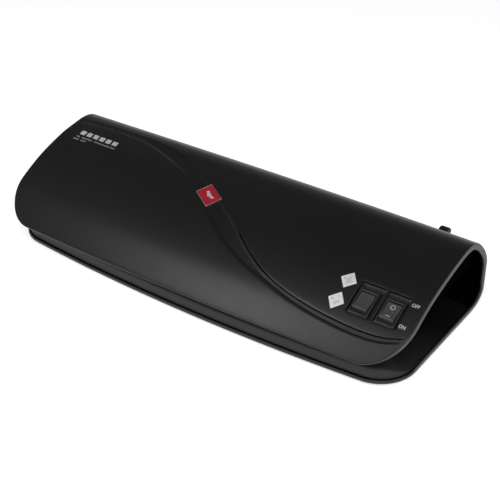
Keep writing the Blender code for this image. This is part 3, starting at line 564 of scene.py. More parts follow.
LOW_STEP = [
    (-2.2, 0.0), (-1.3, 0.03), (-0.8, 0.16), (-0.3, 0.42), (0.3, 0.70), (0.8, 0.88), (1.4, 0.98), (2.2, 1.0),
]
HIGH_STEP = [(-2.6, 1.0), (-2.0, 0.9), (-1.5, 0.62), (-1.15, 0.34), (-0.9, 0.12), (-0.75, 0.03)]
GROOVE = [
    (-0.7, 0.0), (-0.54, 0.06), (-0.4, 0.3), (-0.34, 1.0), (0.34, 1.0), (0.4, 0.3), (0.54, 0.06), (0.75, 0.0),
]
BAND_DEPTH = 0.75
BAND_RAMP = 0.7  # how much of its depth the band loses towards its upper edge at the left
RIDGE_REAR = 37.0


def plain_rows(a, b, shares):
    return [(a + (b - a) * f, 0.0, 0.0) for f in shares]


def cover_rows(c):
    """(end-section length, band share, groove share, X) down one column of the cover, lip first."""
    start_y = COVER.start(0, RIM_R)
    x = COVER.column(c, RIM_R, start_y)
    for _ in range(6):
        start_y = COVER.start(x, RIM_R)
        x = COVER.column(c, RIM_R, start_y)
    s_start = COVER.s_at(start_y)

    def on_line(line, floor):
        xx = x
        s = floor
        for _ in range(6):
            s = max(float(COVER.s_of_y(xx, line_y(line, xx))), floor)
            xx = COVER.column(c, RIM_R, COVER.y_of(s))
        return s, xx

    s_low, x_low = on_line(LOW_LINE, s_start + 4.4)
    s_high, x_high = on_line(HIGH_LINE, s_low + 3.3)
    lean_low = math.hypot(1.0, line_slope(LOW_LINE, x_low))
    lean_high = math.hypot(1.0, line_slope(HIGH_LINE, x_high))
    s_top = COVER.s_at(RIDGE_REAR)
    slot_s = np.interp(-(LEVER_SLOT[2] + EDGE_R), -COVER.z[-420:], COVER.s[-420:])
    s_end = COVER.s[-1] - EDGE_R
    room = max(min((s_low - s_start) / 2.6, 1.0), 0.2)
    first = s_low + LOW_STEP[0][0] * lean_low * room
    rows = plain_rows(s_start, first, np.linspace(0.0, 1.0, 34, endpoint=False))
    between = min(1.0, (s_high - s_low) / (2.2 * lean_low + 2.6 * lean_high + 0.6))
    rows += [(s_low + t * lean_low * (room if t < 0 else between), d, 0.0) for t, d in LOW_STEP]
    a = rows[-1][0]
    b = s_high + HIGH_STEP[0][0] * lean_high * between
    ramp = BAND_RAMP * (1.0 - smoothstep(c, -70.0, -10.0))
    rows += [(a + (b - a) * f, 1.0 - ramp * f, 0.0) for f in np.linspace(0.0, 1.0, 8)[1:-1]]
    rows += [(s_high + t * lean_high * between, d * (1 - ramp), 0.0) for t, d in HIGH_STEP]
    rows += [(s_high + t * lean_high * (between if t < 0 else 1.0), 0.0, d) for t, d in GROOVE]
    a = rows[-1][0]
    count = 46
    plain = a + (s_top - a) * np.arange(1, count + 1) / count
    v_line = (COVER.bow(c, COVER.y) - SWITCH_ORIGIN[0]) * math.cos(SWITCH_SLOPE)
    v_line = v_line + (COVER.z - SWITCH_ORIGIN[1]) * math.sin(SWITCH_SLOPE)
    front = COVER.y < 20.0
    edges = [np.interp(v, v_line[front], COVER.s[front]) for v in (-14.6, -12.5, 12.5, 14.6)]
    knots = [0, 4, 5, 21, 22, count]
    fitted = np.interp(np.arange(1, count + 1), knots, [a, *edges, s_top])
    w = smoothstep(c, 92.0, 113.0) * (1 - smoothstep(c, 158.2, 165.5))
    rows += [(s, 0.0, 0.0) for s in plain * (1 - w) + fitted * w]
    rows += plain_rows(s_top, slot_s, np.linspace(0.0, 1.0, 17)[1:])
    return rows + plain_rows(slot_s, s_end, np.linspace(0.0, 1.0, 15)[1:])


def cover_grid():
    edge = HALF - RIM_R
    lines = [POCKET[0]] + [x for x0, x1 in WELLS for x in (x0 - EDGE_R, x1 + EDGE_R)]
    lines += [POCKET[1], LEVER_SLOT[0] - EDGE_R, LEVER_SLOT[1] + EDGE_R, -edge, edge, edge - 1.6, 1.6 - edge]
    columns = with_lines(np.linspace(-edge, edge, 216), lines)
    grid = []
    depth = []
    for c in columns:
        fade = smoothstep(c, -166.5, -158.0) * (1 - smoothstep(c, 158.0, 165.5))
        cut = smoothstep(c, -166.5, -160.0) * (1 - smoothstep(c, 161.5, 165.5))
        cut *= 0.55 * (1 - smoothstep(c, -60.0, -15.0)) + smoothstep(c, -5.0, 80.0)
        settle = 1.0 - smoothstep(c, -150.0, 150.0)
        line = []
        sunk = []
        for s, band, groove in cover_rows(c):
            y_end = COVER.y_of(s)
            x = COVER.column(c, RIM_R, y_end)
            y, z = COVER.at(x, s)
            line.append((x, float(y), float(z)))
            ridge = smoothstep(y_end, 4.0, 26.0) * (1 - smoothstep(y_end, 46.0, 60.0))
            sunk.append(band * BAND_DEPTH * fade + groove * cut + RIDGE_DROP * ridge * settle)
        grid.append(line)
        depth.append(sunk)
    points = np.array(grid).transpose(1, 0, 2)
    depth = np.array(depth).T[..., None]
    points = points - grid_normals(points) * depth
    return points, columns


def switch_frame(p):
    """(x, along, normal) of the switch panel for points."""
    c = math.cos(SWITCH_SLOPE)
    s = math.sin(SWITCH_SLOPE)
    y = p[..., 1] - SWITCH_ORIGIN[0]
    z = p[..., 2] - SWITCH_ORIGIN[1]
    return np.stack([p[..., 0], y * c + z * s, z * c - y * s], axis=-1)


def from_switch(p):
    p = np.asarray(p, float)
    c = math.cos(SWITCH_SLOPE)
    s = math.sin(SWITCH_SLOPE)
    y = SWITCH_ORIGIN[0] + p[..., 1] * c - p[..., 2] * s
    z = SWITCH_ORIGIN[1] + p[..., 1] * s + p[..., 2] * c
    return np.stack([p[..., 0], y, z], axis=-1)


def fill_between(verts, loops):
    """Faces over the flat area between closed index loops."""
    tool = bmesh.new()
    made = {i: tool.verts.new(verts[i]) for ring in loops for i in ring}
    edges = []
    for ring in loops:
        edges += [tool.edges.new((made[i], made[j])) for i, j in zip(ring, [*ring[1:], ring[0]])]
    bmesh.ops.triangle_fill(tool, edges=edges, use_beauty=True)
    back = {v: i for i, v in made.items()}
    faces = [tuple(back[v] for v in f.verts) for f in tool.faces]
    tool.free()
    return faces


def make_cover():
    points, columns = cover_grid()
    rows, cols, _ = points.shape
    gap_rows = [r for r, (_, _, groove) in enumerate(cover_rows(0.0)) if groove > 0.25][:-1]
    gap_columns = [c for c in range(cols - 1) if GROOVE_SHADE_X[0] < columns[c] < GROOVE_SHADE_X[1]]
    gap = {outer_cell(r * cols + c, cols) for r in gap_rows for c in gap_columns}
    local = switch_frame(points)
    x, along, _ = np.moveaxis(cell_middles(local), -1, 0)
    _, y, z = np.moveaxis(cell_middles(points), -1, 0)
    slot = (x > LEVER_SLOT[0] - EDGE_R) & (x < LEVER_SLOT[1] + EDGE_R)
    slot &= (z < LEVER_SLOT[2] + EDGE_R) & (y > 20.0)
    wells = np.zeros_like(slot)
    for x0, x1 in WELLS:
        wells |= (x > x0 - EDGE_R) & (x < x1 + EDGE_R) & (abs(along) < WELL_V + EDGE_R)
    pocket = (x > POCKET[0]) & (x < POCKET[1]) & (abs(along) < POCKET[2])
    last = rows - 1

    def radius(a, b):
        rear = a[0] == last and b[0] == last
        slotted = all(c[0] > last - 15 and 100 < points[c][0] < 150 for c in (a, b))
        return EDGE_R if rear or slotted else RIM_R

    def border(a):
        x, y, _ = points[a]
        return smoothstep(abs(x), 163.0, 166.0) if y > 45.0 else smoothstep(abs(x), 152.0, 164.0)

    verts, faces = shell(points, ~slot, COVER_WALL, radius, (*COVER_RIM, border))
    size = rows * cols
    gone = {outer_cell(r * cols + c, cols) for r, c in np.argwhere(wells)}
    gone |= {inner_cell(size + r * cols + c, cols) for r, c in np.argwhere(pocket)}
    faces = [f for f in faces if f not in gone]
    low_rings = []
    for loop, (x0, x1) in zip(sorted(loops_of(wells), key=lambda l: points[l[0]][0]), WELLS):
        index = [r * cols + c for r, c in loop][::-1]
        p = local.reshape(-1, 3)[index]
        mid = np.array([(x0 + x1) / 2, 0.0])
        half = np.array([(x1 - x0) / 2, WELL_V])
        unit = (p[:, :2] - mid) / (half + EDGE_R)
        side = np.where(abs(unit) > 0.999, np.sign(unit), 0.0)
        rings = []
        for k in range(1, 5):
            a = math.pi * k / 8
            xy = p[:, :2] - side * EDGE_R * math.sin(a)
            rings.append(np.column_stack([xy, p[:, 2] - EDGE_R * (1 - math.cos(a))]))
        edge = mid + half * np.clip(unit * (half + EDGE_R) / half, -1.0, 1.0)
        for inset, w in ((0.0, WELL_FLOOR + 0.35), (0.1, WELL_FLOOR + 0.1), (0.35, WELL_FLOOR)):
            rings.append(np.column_stack([mid + (edge - mid) * (half - inset) / half, np.full(len(p), w)]))
        name = min(SWITCHES, key=lambda k: abs(SWITCHES[k] - mid[0]))
        hole_mid = np.array([SWITCHES[name], -1.6])
        hole = hole_mid + (edge - mid) / half * np.array([6.6, 9.6])
        for w in (WELL_FLOOR, POCKET[3]):
            rings.append(np.column_stack([hole, np.full(len(p), w)]))
        for ring in rings:
            index = add_ring(verts, faces, index, from_switch(ring))
        low_rings.append(index)
    loop = max(loops_of(pocket), key=len)
    index = [size + r * cols + c for r, c in loop][::-1]
    p = switch_frame(np.array([verts[i] for i in index]))
    p[:, 2] = POCKET[3]
    floor = add_ring(verts, faces, index, from_switch(p), True)
    faces += fill_between(verts, [floor, *low_rings])
    # The inner skin and the groove floor get the inner material: painted shade.
    inside = [(min(f) >= size and max(f) < 2 * size) or f in gap for f in faces]
    used = sorted({i for f in faces for i in f})
    renum = {i: k for k, i in enumerate(used)}
    verts = [verts[i] for i in used]
    faces = [tuple(renum[i] for i in f) for f in faces]
    new_piece("cover_shell", verts, faces, "casing", "shell", ["top_cover"], inner=inside)


# ---------------------------------------------------------------- the base and its tray

def leaned(x, y, z):
    """The real base stands a little askew in the picture: its front edge is further back at the left."""
    front = 1.0 - smoothstep(y, -50.0, -5.0)
    return x + LEAN_X * front * smoothstep(-x, 90.0, HALF), y - LEAN_Y * front * x / HALF, z


def make_base():
    edge = HALF - PAN_R
    exit_x = (EXIT_SLOT[0] - EDGE_R, EXIT_SLOT[1] + EDGE_R)
    lever_x = (LEVER_SLOT[0] - EDGE_R, LEVER_SLOT[1] + EDGE_R)
    lines = [*exit_x, *lever_x, CORD_HOLE[0] - CORD_HOLE_HALF, CORD_HOLE[0] + CORD_HOLE_HALF]
    lines += [-edge, edge, edge - 2.6, 2.6 - edge]
    columns = with_lines(np.linspace(-edge, edge, 120), lines, 0.9)[::-1]
    top = PAN.s[-1] - EDGE_R
    heights = [CORD_HOLE[1] - CORD_HOLE_HALF, CORD_HOLE[1] + CORD_HOLE_HALF]
    heights += [EXIT_SLOT[2] - EDGE_R, PAN_LEVER_Z]
    fixed = [float(np.interp(z, PAN.z[-400:], PAN.s[-400:])) for z in heights]
    grid = []
    for c in columns:
        start = PAN.start(0, PAN_R)
        for _ in range(6):
            start = PAN.start(PAN.column(c, PAN_R, start), PAN_R)
        s0 = PAN.s_at(start)
        bend = PAN.s_at(40.0)
        rows = [s0, s0 + 2.7] + list(np.linspace(s0 + 5.0, bend, 22))
        rows += with_lines(np.linspace(bend, top, 40)[1:-1], fixed, 0.7) + [top]
        line = []
        for s in rows:
            x = PAN.column(c, PAN_R, PAN.y_of(s))
            y, z = PAN.at(x, s)
            line.append((x, float(y), float(z)))
        grid.append(line)
    points = np.array(grid).transpose(1, 0, 2)
    x, y, z = np.moveaxis(cell_middles(points), -1, 0)
    rear = y > 55.0
    gone = rear & (x > exit_x[0]) & (x < exit_x[1]) & (z > EXIT_SLOT[2] - EDGE_R)
    gone |= rear & (x > lever_x[0]) & (x < lever_x[1]) & (z > PAN_LEVER_Z)
    gone |= rear & (abs(x - CORD_HOLE[0]) < CORD_HOLE_HALF) & (abs(z - CORD_HOLE[1]) < CORD_HOLE_HALF)

    def radius(a, b):
        at = 0.5 * (points[a] + points[b])
        inside = at[1] > 50.0 and abs(at[0]) < edge - 0.5
        return EDGE_R if inside else PAN_R

    def border(a):
        x, y, z = points[a]
        if abs(x) > edge - 0.1:
            return 1.0 + 4.75 * max(smoothstep(z, 8.0, 18.0), 0.6 * smoothstep(y, -62.0, -30.0))
        return 1.0 if y < 40.0 else 0.0

    verts, faces = shell(points, ~gone, PAN_WALL, radius, (*PAN_RIM, border))
    size = points.shape[0] * points.shape[1]
    # The inner skin gets the inner material: painted shade.
    inside = [min(f) >= size and max(f) < 2 * size for f in faces]
    verts = [leaned(*v) for v in verts]
    new_piece("base_pan", verts, faces, "casing", "casing", ["base_casing"], inner=inside)


def plan_ring(inset, front, corner, bow, y_rear, arc=14, flat=40):
    """A rounded plan outline moved in by inset, from the rear left round the front to the rear right."""
    radius = max(corner - inset, 0.6)
    cx = HALF - inset - radius
    cy = front + inset + radius
    right = [(x, front + inset, 0.0) for x in np.linspace(0.0, cx, flat, endpoint=False)]
    for k in range(arc + 1):
        a = 0.5 * math.pi * k / arc
        right.append((cx + radius * math.sin(a), cy - radius * math.cos(a), k / arc))
    right += [(HALF - inset, y, 1.0) for y in np.linspace(cy, y_rear, 16)[1:]]
    whole = [(-x, y, w) for x, y, w in reversed(right[1:])] + right
    return [(x, y * (1 + bow * (1 - (x / HALF) ** 2)) if y < 0 else y, w) for x, y, w in whole]


def make_tray():
    insets = [2.3, 1.95, 1.9, 1.95, 2.25, 2.8, 3.8, 5.4, 8.0, 12.0, 17.0, 22.0, 27.0]
    front_z = [4.3, 4.5, 5.0, 10.9, 11.9, 12.5, 12.8, 12.8, 12.6, 12.2, 11.9, 11.85, 11.85]
    side_z = [4.3, 4.35, 4.5, 4.6, 4.72, 4.86, 5.05, 5.3, 5.7, 6.4, 7.2, 7.9, 8.1]
    verts = []
    for inset, zf, zs in zip(insets, front_z, side_z):
        for x, y, w in plan_ring(inset, PAN_FRONT, PAN_CORNER, PAN_BOW, TRAY_REAR):
            blend = smoothstep(w, 0.25, 1.0)
            verts.append(leaned(x, y, zf * (1 - blend) + zs * blend))
    n = len(verts) // len(insets)
    for z in (5.6, 4.25):
        ring = plan_ring(insets[-1], PAN_FRONT, PAN_CORNER, PAN_BOW, TRAY_REAR)
        verts += [leaned(x, y, z) for x, y, _ in ring]
    count = len(insets) + 2
    faces = []
    for r in range(count):
        a = r * n
        b = ((r + 1) % count) * n
        faces += [(a + i, a + i + 1, b + i + 1, b + i) for i in range(n - 1)]
    faces.append(tuple(r * n for r in range(count)))
    faces.append(tuple(r * n + n - 1 for r in reversed(range(count))))
    new_piece("tray_moulding", verts, faces, "casing", "casing", ["entry_tray"], "tray")


def cap_x(z, side):
    right = ([6.0, 12.0, 20.0, 28.0, 32.0, 64.0], [137.0, 146.0, 152.5, 157.5, 159.6, 162.6])
    left = ([6.0, 12.0, 20.0, 30.0, 45.0, 64.0], [147.0, 153.5, 156.0, 158.5, 161.0, 162.5])
    heights, places = right if side > 0 else left
    near = np.clip(z + np.linspace(-3.0, 3.0, 13), heights[0], heights[-1])
    return float(np.interp(near, heights, places).mean())


def make_end_panel(name, side, node):
    heights = np.concatenate([np.linspace(9.0, 56.0, 40), [56.6, 57.0]])
    columns = 40
    verts = []
    for thick in (0.0, 2.0):
        for z in heights:
            x = cap_x(z, side) - thick
            wide = 1 + BOW * (1 - (x / HALF) ** 2)
            s = np.interp(z + 2.6, COVER.z[COVER.y < 30.0], COVER.s[COVER.y < 30.0])
            slope = COVER.z_of(s + 1) - COVER.z_of(s - 1)
            y0 = COVER.y_of(s) + COVER_WALL * 0.5 * slope
            y0 = max(y0 * wide, -50.0 + max(0.0, 12.5 - z) * 5.7)
            back = np.interp(-(z + 2.2), -COVER.z[COVER.y > 32.0], COVER.y[COVER.y > 32.0])
            y1 = min(back - COVER_WALL - 0.6, 60.6) if z > 33.0 else min(60.6, 57.0 + (z - 9.0) * 0.8)
            verts += [(side * x, y0 + (y1 - y0) * k / columns, z) for k in range(columns + 1)]
    base = len(verts) // 2
    whole = np.ones((len(heights) - 1, columns), bool)
    faces = two_skins(whole, base)
    for loop in loops_of(whole):
        index = [r * (columns + 1) + k for r, k in loop]
        faces += strip(index, [base + i for i in index], True)
    new_piece(name, verts, faces, "casing", "end_panel", [node])


# ---------------------------------------------------------------- turned and extruded small pieces

def lofted(rings, cap=True):
    """Faces through rings of equal length."""
    n = len(rings[0])
    verts = [tuple(p) for ring in rings for p in ring]
    faces = []
    for r in range(len(rings) - 1):
        a = r * n
        faces += strip([a + i for i in range(n)], [a + n + i for i in range(n)])
    if cap:
        faces.append(tuple(range(n))[::-1])
        faces.append(tuple(range((len(rings) - 1) * n, len(rings) * n)))
    return verts, faces


def rounded_rect(x0, x1, v0, v1, radius, w, steps=5):
    made = []
    for cx, cv, a0 in ((x1, v1, 0.0), (x0, v1, 0.5), (x0, v0, 1.0), (x1, v0, 1.5)):
        ox = cx - math.copysign(radius, cx - (x0 + x1) / 2)
        ov = cv - math.copysign(radius, cv - (v0 + v1) / 2)
        for k in range(steps + 1):
            a = math.pi * (a0 + 0.5 * k / steps)
            made.append((ox + radius * math.cos(a), ov + radius * math.sin(a), w))
    return made


def turned(rings, centre, axis, segments=48):
    """(place along the axis, radius) rings round X, Y or Z."""
    made = []
    for at, radius in rings:
        ring = []
        for k in range(segments):
            a = 2 * math.pi * k / segments
            point = [centre[0] + radius * math.cos(a), centre[1] + radius * math.sin(a)]
            point.insert("XYZ".index(axis), at)
            ring.append(tuple(point))
        made.append(ring)
    return made


ROCKER = [
    (-6.9, -1.6), (-7.1, 0.0), (-6.95, 1.6), (-6.3, 3.45), (-5.5, 3.62), (-3.5, 3.25), (0.0, 3.05),
    (3.5, 3.25), (5.5, 3.62), (6.3, 3.45), (6.95, 1.6), (7.1, 0.0), (6.9, -1.6), (2.0, -2.5),
    (-2.0, -2.5), (-6.9, -1.6),
]
ROCKER_REACH = 7.05
ROCKER_ENDS = (  # across the rocker, and how far the outline is drawn in there
    (-5.15, 0.45), (-5.09, 0.2), (-4.9, 0.05), (-4.6, 0.0), (0.0, 0.0),
    (4.6, 0.0), (4.9, 0.05), (5.09, 0.2), (5.15, 0.45),
)


def make_switch(prefix, centre, rocker_slot, rocker_mat):
    def ring(half, low, high, corner, w, grow=0.0):
        return from_switch(rounded_rect(
            centre - half - grow, centre + half + grow, low - grow, high + grow, corner, w))

    rings = []
    for grow, w in ((-0.2, -9.0), (0.0, -8.8), (0.0, -1.75), (0.08, -1.5), (0.3, -1.4)):
        rings.append(ring(5.5, -8.9, 5.7, 0.5 + max(grow, 0), w, grow))
    for grow, w in ((-0.45, -1.4), (-0.13, -1.53), (0.0, -1.85), (0.0, -3.0)):
        rings.append(ring(7.3, -11.9, 8.7, 1.0 + grow, w, grow))
    for grow, w in ((0.0, -3.0), (0.0, -13.6), (-0.4, -14.0)):
        rings.append(ring(6.3, -10.9, 7.7, 0.7, w, grow))
    parts = [lofted(rings)]
    for v in (-6.5, -1.6, 3.3):
        pin = [ring(2.4, v - 0.4, v + 0.4, 0.15, w) for w in (-13.8, -19.1)]
        parts.append(lofted([*pin, ring(1.9, v - 0.25, v + 0.25, 0.1, -19.5)]))
    frame_name = f"{prefix}_switch_frame"
    new_piece(frame_name, *join_mesh(parts), "casing", "switch_black", [f"{prefix}_switch_body"])
    outline = []
    for v, w in spline(ROCKER, 6)[:-1]:
        near = 1.0 if w > 2.2 else min(1.0, ROCKER_REACH / math.hypot(v, w))
        outline.append((v * near, w * near))
    rings = []
    for x, shrink in ROCKER_ENDS:
        left = [(v, w, 1 - shrink / math.hypot(v, w)) for v, w in outline]
        rings.append(from_switch([tipped(centre + x, v * k, w * k) for v, w, k in left]))
    nodes = [f"{prefix}_rocker"]
    new_piece(f"{prefix}_rocker_cap", *lofted(rings), f"{prefix}_key", rocker_slot, nodes, rocker_mat, 50.0)


def tipped(x, v, w):
    """A point of a rocker about its pivot, with the key at rest, in the switches' own frame."""
    return (x, KEY_PIVOT[0] + (v * math.cos(KEY_REST) - w * math.sin(KEY_REST)),
            KEY_PIVOT[1] + (v * math.sin(KEY_REST) + w * math.cos(KEY_REST)))


def rocker_mark(name, inner, outer):
    """White print on the power rocker: a closed strip between two outlines of (x, along) pairs on its top."""
    rings = []
    for lift, ring in ((0.0, inner), (INK_THICK, inner), (INK_THICK, outer), (0.0, outer)):
        pts = [(SWITCHES["power"] + x, v, 3.05 + 0.0178 * v * v - 0.02 + lift) for x, v in ring]
        rings.append(from_switch([tipped(*point) for point in pts]))
    new_piece(name, *join_mesh([lofted(rings, cap=False)]), "power_key", "label_white", [], "white_ink")


def around(rings):
    """Rings joined in turn, and the last one back to the first."""
    verts, faces = lofted(rings, cap=False)
    n = len(rings[0])
    faces += strip([(len(rings) - 1) * n + i for i in range(n)], list(range(n)))
    return verts, faces


# ---------------------------------------------------------------- prints and badges on the cover

def on_cover(x, y, lift):
    """The point at X, Y on the cover, lifted off along its normal."""
    s = float(COVER.s_of_y(x, y))
    dz = COVER.z_of(s + 0.5) - COVER.z_of(s - 0.5)
    dy = COVER.y_of(s + 0.5) - COVER.y_of(s - 0.5)
    size = math.hypot(dy, dz)
    return x, y - lift * dz / size, COVER.z_of(s) + lift * dy / size


def laid(points, centre, turn):
    """Points (a, b, lift) laid on the cover, turned in plan about a centre."""
    c = math.cos(turn)
    s = math.sin(turn)
    return [on_cover(centre[0] + a * c - b * s, centre[1] + a * s + b * c, lift) for a, b, lift in points]


def plate(rings, centre, turn):
    return [laid(ring, centre, turn) for ring in rings]


def rect_ring(half_a, half_b, radius, lift, steps=4, sides=6):
    """A rounded rectangle outline with points along its sides too."""
    corners = [(half_a - radius, half_b - radius, 0.0), (radius - half_a, half_b - radius, 0.5),
               (radius - half_a, radius - half_b, 1.0), (half_a - radius, radius - half_b, 1.5)]
    made = []
    for i, (ca, cb, a0) in enumerate(corners):
        for k in range(steps + 1):
            a = math.pi * (a0 + 0.5 * k / steps)
            made.append((ca + radius * math.cos(a), cb + radius * math.sin(a), lift))
        na, nb, n0 = corners[(i + 1) % 4]
        p = made[-1]
        q = (na + radius * math.cos(math.pi * n0), nb + radius * math.sin(math.pi * n0))
        for k in range(1, sides):
            t = k / sides
            made.append((p[0] + (q[0] - p[0]) * t, p[1] + (q[1] - p[1]) * t, lift))
    return made


def pad_rings(half_a, half_b, radius, low, high, soft):
    """A thin raised pad: side, rounded edge, then shrinking rings over its top."""
    rings = [rect_ring(half_a, half_b, radius, low), rect_ring(half_a, half_b, radius, high - soft)]
    for part in (0.3 * soft, soft):
        lift = high - part if part < soft else high
        rings.append(rect_ring(half_a - part, half_b - part, max(radius - part, 0.05), lift))
    for share in (0.66, 0.33, 0.02):
        corner = max((radius - soft) * share, 0.004)
        rings.append(rect_ring((half_a - soft) * share, (half_b - soft) * share, corner, high))
    return rings


def ink(name, boxes, centre, turn, lift, mat, shear=0.0):
    """Flat printed blocks, each (a, b, width, height), laid on the cover."""
    parts = []
    for a0, b0, wide, high in boxes:
        across = max(2, int(wide / 1.2) + 1)
        outline = [(a0 + wide * k / (across - 1), b0) for k in range(across)]
        outline += [(a0 + wide * (1 - k / (across - 1)), b0 + high) for k in range(across)]
        rings = [[(a + shear * b, b, lift + up) for a, b in outline] for up in (0.0, INK_THICK)]
        verts, faces = lofted(plate(rings, centre, turn), cap=False)
        n = len(outline)
        for k in range(across - 1):
            faces.append((n + k, n + k + 1, n + n - 2 - k, n + n - 1 - k))
            faces.append((k, n - 1 - k, n - 2 - k, k + 1))
        parts.append((verts, faces))
    new_piece(name, *join_mesh(parts), "casing", "label_white", [], mat)


def lettering(name, text, size, centre, turn):
    curve = bpy.data.curves.new(name, "FONT")
    curve.body = text
    curve.size = size
    curve.align_x = "CENTER"
    curve.align_y = "CENTER"
    curve.extrude = 0.02
    curve.offset = 0.06
    curve.resolution_u = 4
    obj = linked(name + "_type", curve)
    bpy.context.view_layer.update()
    mesh = bpy.data.meshes.new_from_object(obj.evaluated_get(bpy.context.evaluated_depsgraph_get()))
    verts = laid([(v.co[0], v.co[1], PRINT_LIFT + v.co[2]) for v in mesh.vertices], centre, turn)
    faces = [tuple(p.vertices) for p in mesh.polygons]
    bpy.data.objects.remove(obj)
    new_piece(name, verts, faces, "casing", "label_white", [], "white_ink")


def make_badge():
    centre = (-19.6, -3.6)
    turn = math.radians(-31.0)
    steps = [(9.2, 6.3, 0.9, -0.5), (9.2, 6.3, 0.9, 0.55), (9.0, 6.1, 0.8, 0.8),
             (8.75, 5.85, 0.6, 0.85), (8.6, 5.7, 0.55, 0.6), (8.55, 5.65, 0.5, -0.4)]
    border = around(plate([rect_ring(*step) for step in steps], centre, turn))
    new_piece("badge_border", *border, "casing", "badge_red", [], "badge_frame")
    rings = plate(pad_rings(8.55, 5.65, 0.5, -0.3, 0.66, 0.1), centre, turn)
    new_piece("badge_plate", *lofted(rings), "casing", "badge_red", ["front_badge"])
    boxes = [(-4.2, -0.2, 1.5, 2.0), (-2.3, -0.9, 1.5, 2.4), (-0.4, -1.4, 1.5, 2.8),
             (1.5, -0.9, 1.5, 2.4), (3.4, -0.2, 1.3, 2.0)]
    ink("badge_motif", boxes, centre, turn, 0.66, "white_ink", shear=0.2)


LABELS = (("thick_pouch_label", (110.8, -27.4), 3), ("thin_pouch_label", (110.5, -42.4), 1))


def make_labels():
    turn = math.radians(41.0)
    for node, centre, lines in LABELS:
        rings = plate(pad_rings(4.4, 4.2, 0.35, 0.0, 0.28, 0.06), centre, turn)
        new_piece(node.replace("label", "sticker"), *lofted(rings), "casing", "label_white", [node])
        boxes = [(-2.4, -2.2, 4.8, 0.35)]
        boxes += [(-1.9 + 0.25 * k, -1.1 + 0.95 * k, 3.4, 0.4) for k in range(lines)]
        boxes += [(-2.6, 1.6, 0.9, 0.9), (1.6, 1.7, 1.0, 0.4)]
        ink(node.replace("label", "pictogram"), boxes, centre, turn, 0.28, "label_ink")


def make_prints():
    """Plain blocks where a printed name stands on the real machine, and the switch lettering."""
    big = [(6.25 * k, 0.0, 4.5, 4.3) for k in range(6)]
    ink("front_print_blocks", big, (-153.0, 9.9), 0.0, PRINT_LIFT, "white_ink", shear=-0.1)
    small = [(1.72 * k, 0.0, 1.0, 1.5) for k in range(22) if k not in (2, 9)]
    ink("front_print_line", small, (-153.6, 6.4), 0.0, PRINT_LIFT, "grey_ink", shear=-0.1)
    short = [(1.75 * k, 0.0, 1.05, 1.5) for k in range(7) if k != 3]
    ink("front_print_short", short, (-154.4, 3.5), 0.0, PRINT_LIFT, "grey_ink")
    lettering("print_off", "OFF", 3.2, (160.2, -27.9), 0.0)
    lettering("print_on", "ON", 3.1, (159.2, -42.9), 0.0)


# ---------------------------------------------------------------- other small pieces

LEVER = [
    (-5.2, 0.0), (-3.4, -4.2), (0.5, -5.2), (5.0, -4.0), (18.0, 0.6), (30.0, 4.6),
    (37.0, 6.0), (40.8, 6.6), (42.0, 7.6), (41.4, 9.8), (39.2, 11.7), (36.0, 12.2),
    (28.0, 9.6), (16.0, 7.2), (4.4, 4.6), (0.5, 5.2), (-3.6, 3.8), (-5.2, 0.0),
]
LEVER_ENDS = (  # across the lever, and how far the outline is drawn in there
    (128.4, 0.9), (128.55, 0.4), (128.9, 0.12), (129.4, 0.0), (131.8, 0.0),
    (134.2, 0.0), (134.7, 0.12), (135.05, 0.4), (135.2, 0.9),
)


def make_lever():
    outline = even(spline([(LEVER_PIVOT[0] + y, LEVER_PIVOT[1] + z) for y, z in LEVER]), 150)[:-1]
    tangent = np.roll(outline, -1, axis=0) - np.roll(outline, 1, axis=0)
    tangent /= np.linalg.norm(tangent, axis=1, keepdims=True)
    inward = np.column_stack([-tangent[:, 1], tangent[:, 0]])
    parts = [lofted([[(x, *point) for point in outline + inward * inset] for x, inset in LEVER_ENDS])]
    angles = np.linspace(-0.4, math.pi + 0.4, 9)
    for k in range(3):
        at = 64.4 + 2.0 * k
        top = LEVER_PIVOT[1] + 12.1 - 0.22 * max(at - 66.5, 0.0) ** 1.3
        rib = [(at + 0.45 * math.cos(a), top - 0.25 + 0.55 * math.sin(a)) for a in angles]
        parts.append(lofted([[(x, *point) for point in rib] for x in (129.2, 129.5, 134.1, 134.4)]))
    new_piece("jam_lever", *join_mesh(parts), "release", "lever_black", ["release_lever"])


def make_gland():
    profile = [(58.0, 3.9), (64.6, 3.9), (66.9, 4.0), (66.9, 5.4), (67.4, 5.75), (68.8, 5.75),
               (69.6, 5.4), (70.4, 4.4), (70.6, 3.6), (70.4, 2.8), (69.8, 2.6), (58.0, 2.6)]
    grommet = around(turned(profile, CORD_HOLE, "Y"))
    new_piece("cord_grommet", *grommet, "casing", "foot_rubber", ["cord_gland"])


def make_feet():
    places = {
        "front_left": (-132.0, -42.0), "front_right": (132.0, -42.0),
        "rear_left": (-145.0, 34.0), "rear_right": (145.0, 34.0),
    }
    profile = [(0.35, 2.0), (0.35, 3.4), (0.05, 3.8), (0.0, 4.2), (0.0, 5.0),
               (0.12, 5.5), (0.5, 5.85), (0.9, 6.0), (1.45, 6.0)]
    for name, centre in places.items():
        pad = lofted(turned(profile, centre, "Z"))
        new_piece(f"{name}_foot_pad", *pad, "casing", "foot_rubber", [f"{name}_foot"])


def dress_nodes():
    """Better finishes and softened edges for the CAD nodes that still show."""
    slots = {row["node"]: row["material_slot"] for row in frame["record"]["subparts"]}
    for name, obj in frame["nodes"].items():
        obj.data.materials.clear()
        obj.data.materials.append(MATERIALS[slots[name]])
        if obj.hide_render:
            continue
        weld = obj.modifiers.new("weld", "WELD")
        weld.merge_threshold = 1e-6
        for face in obj.data.polygons:
            face.use_smooth = True
        soften = obj.modifiers.new("edges", "BEVEL")
        soften.width = 0.0002
        soften.segments = 2
        soften.limit_method = "ANGLE"
        soften.angle_limit = math.radians(50)
        soften.harden_normals = True


# ---------------------------------------------------------------- the stage

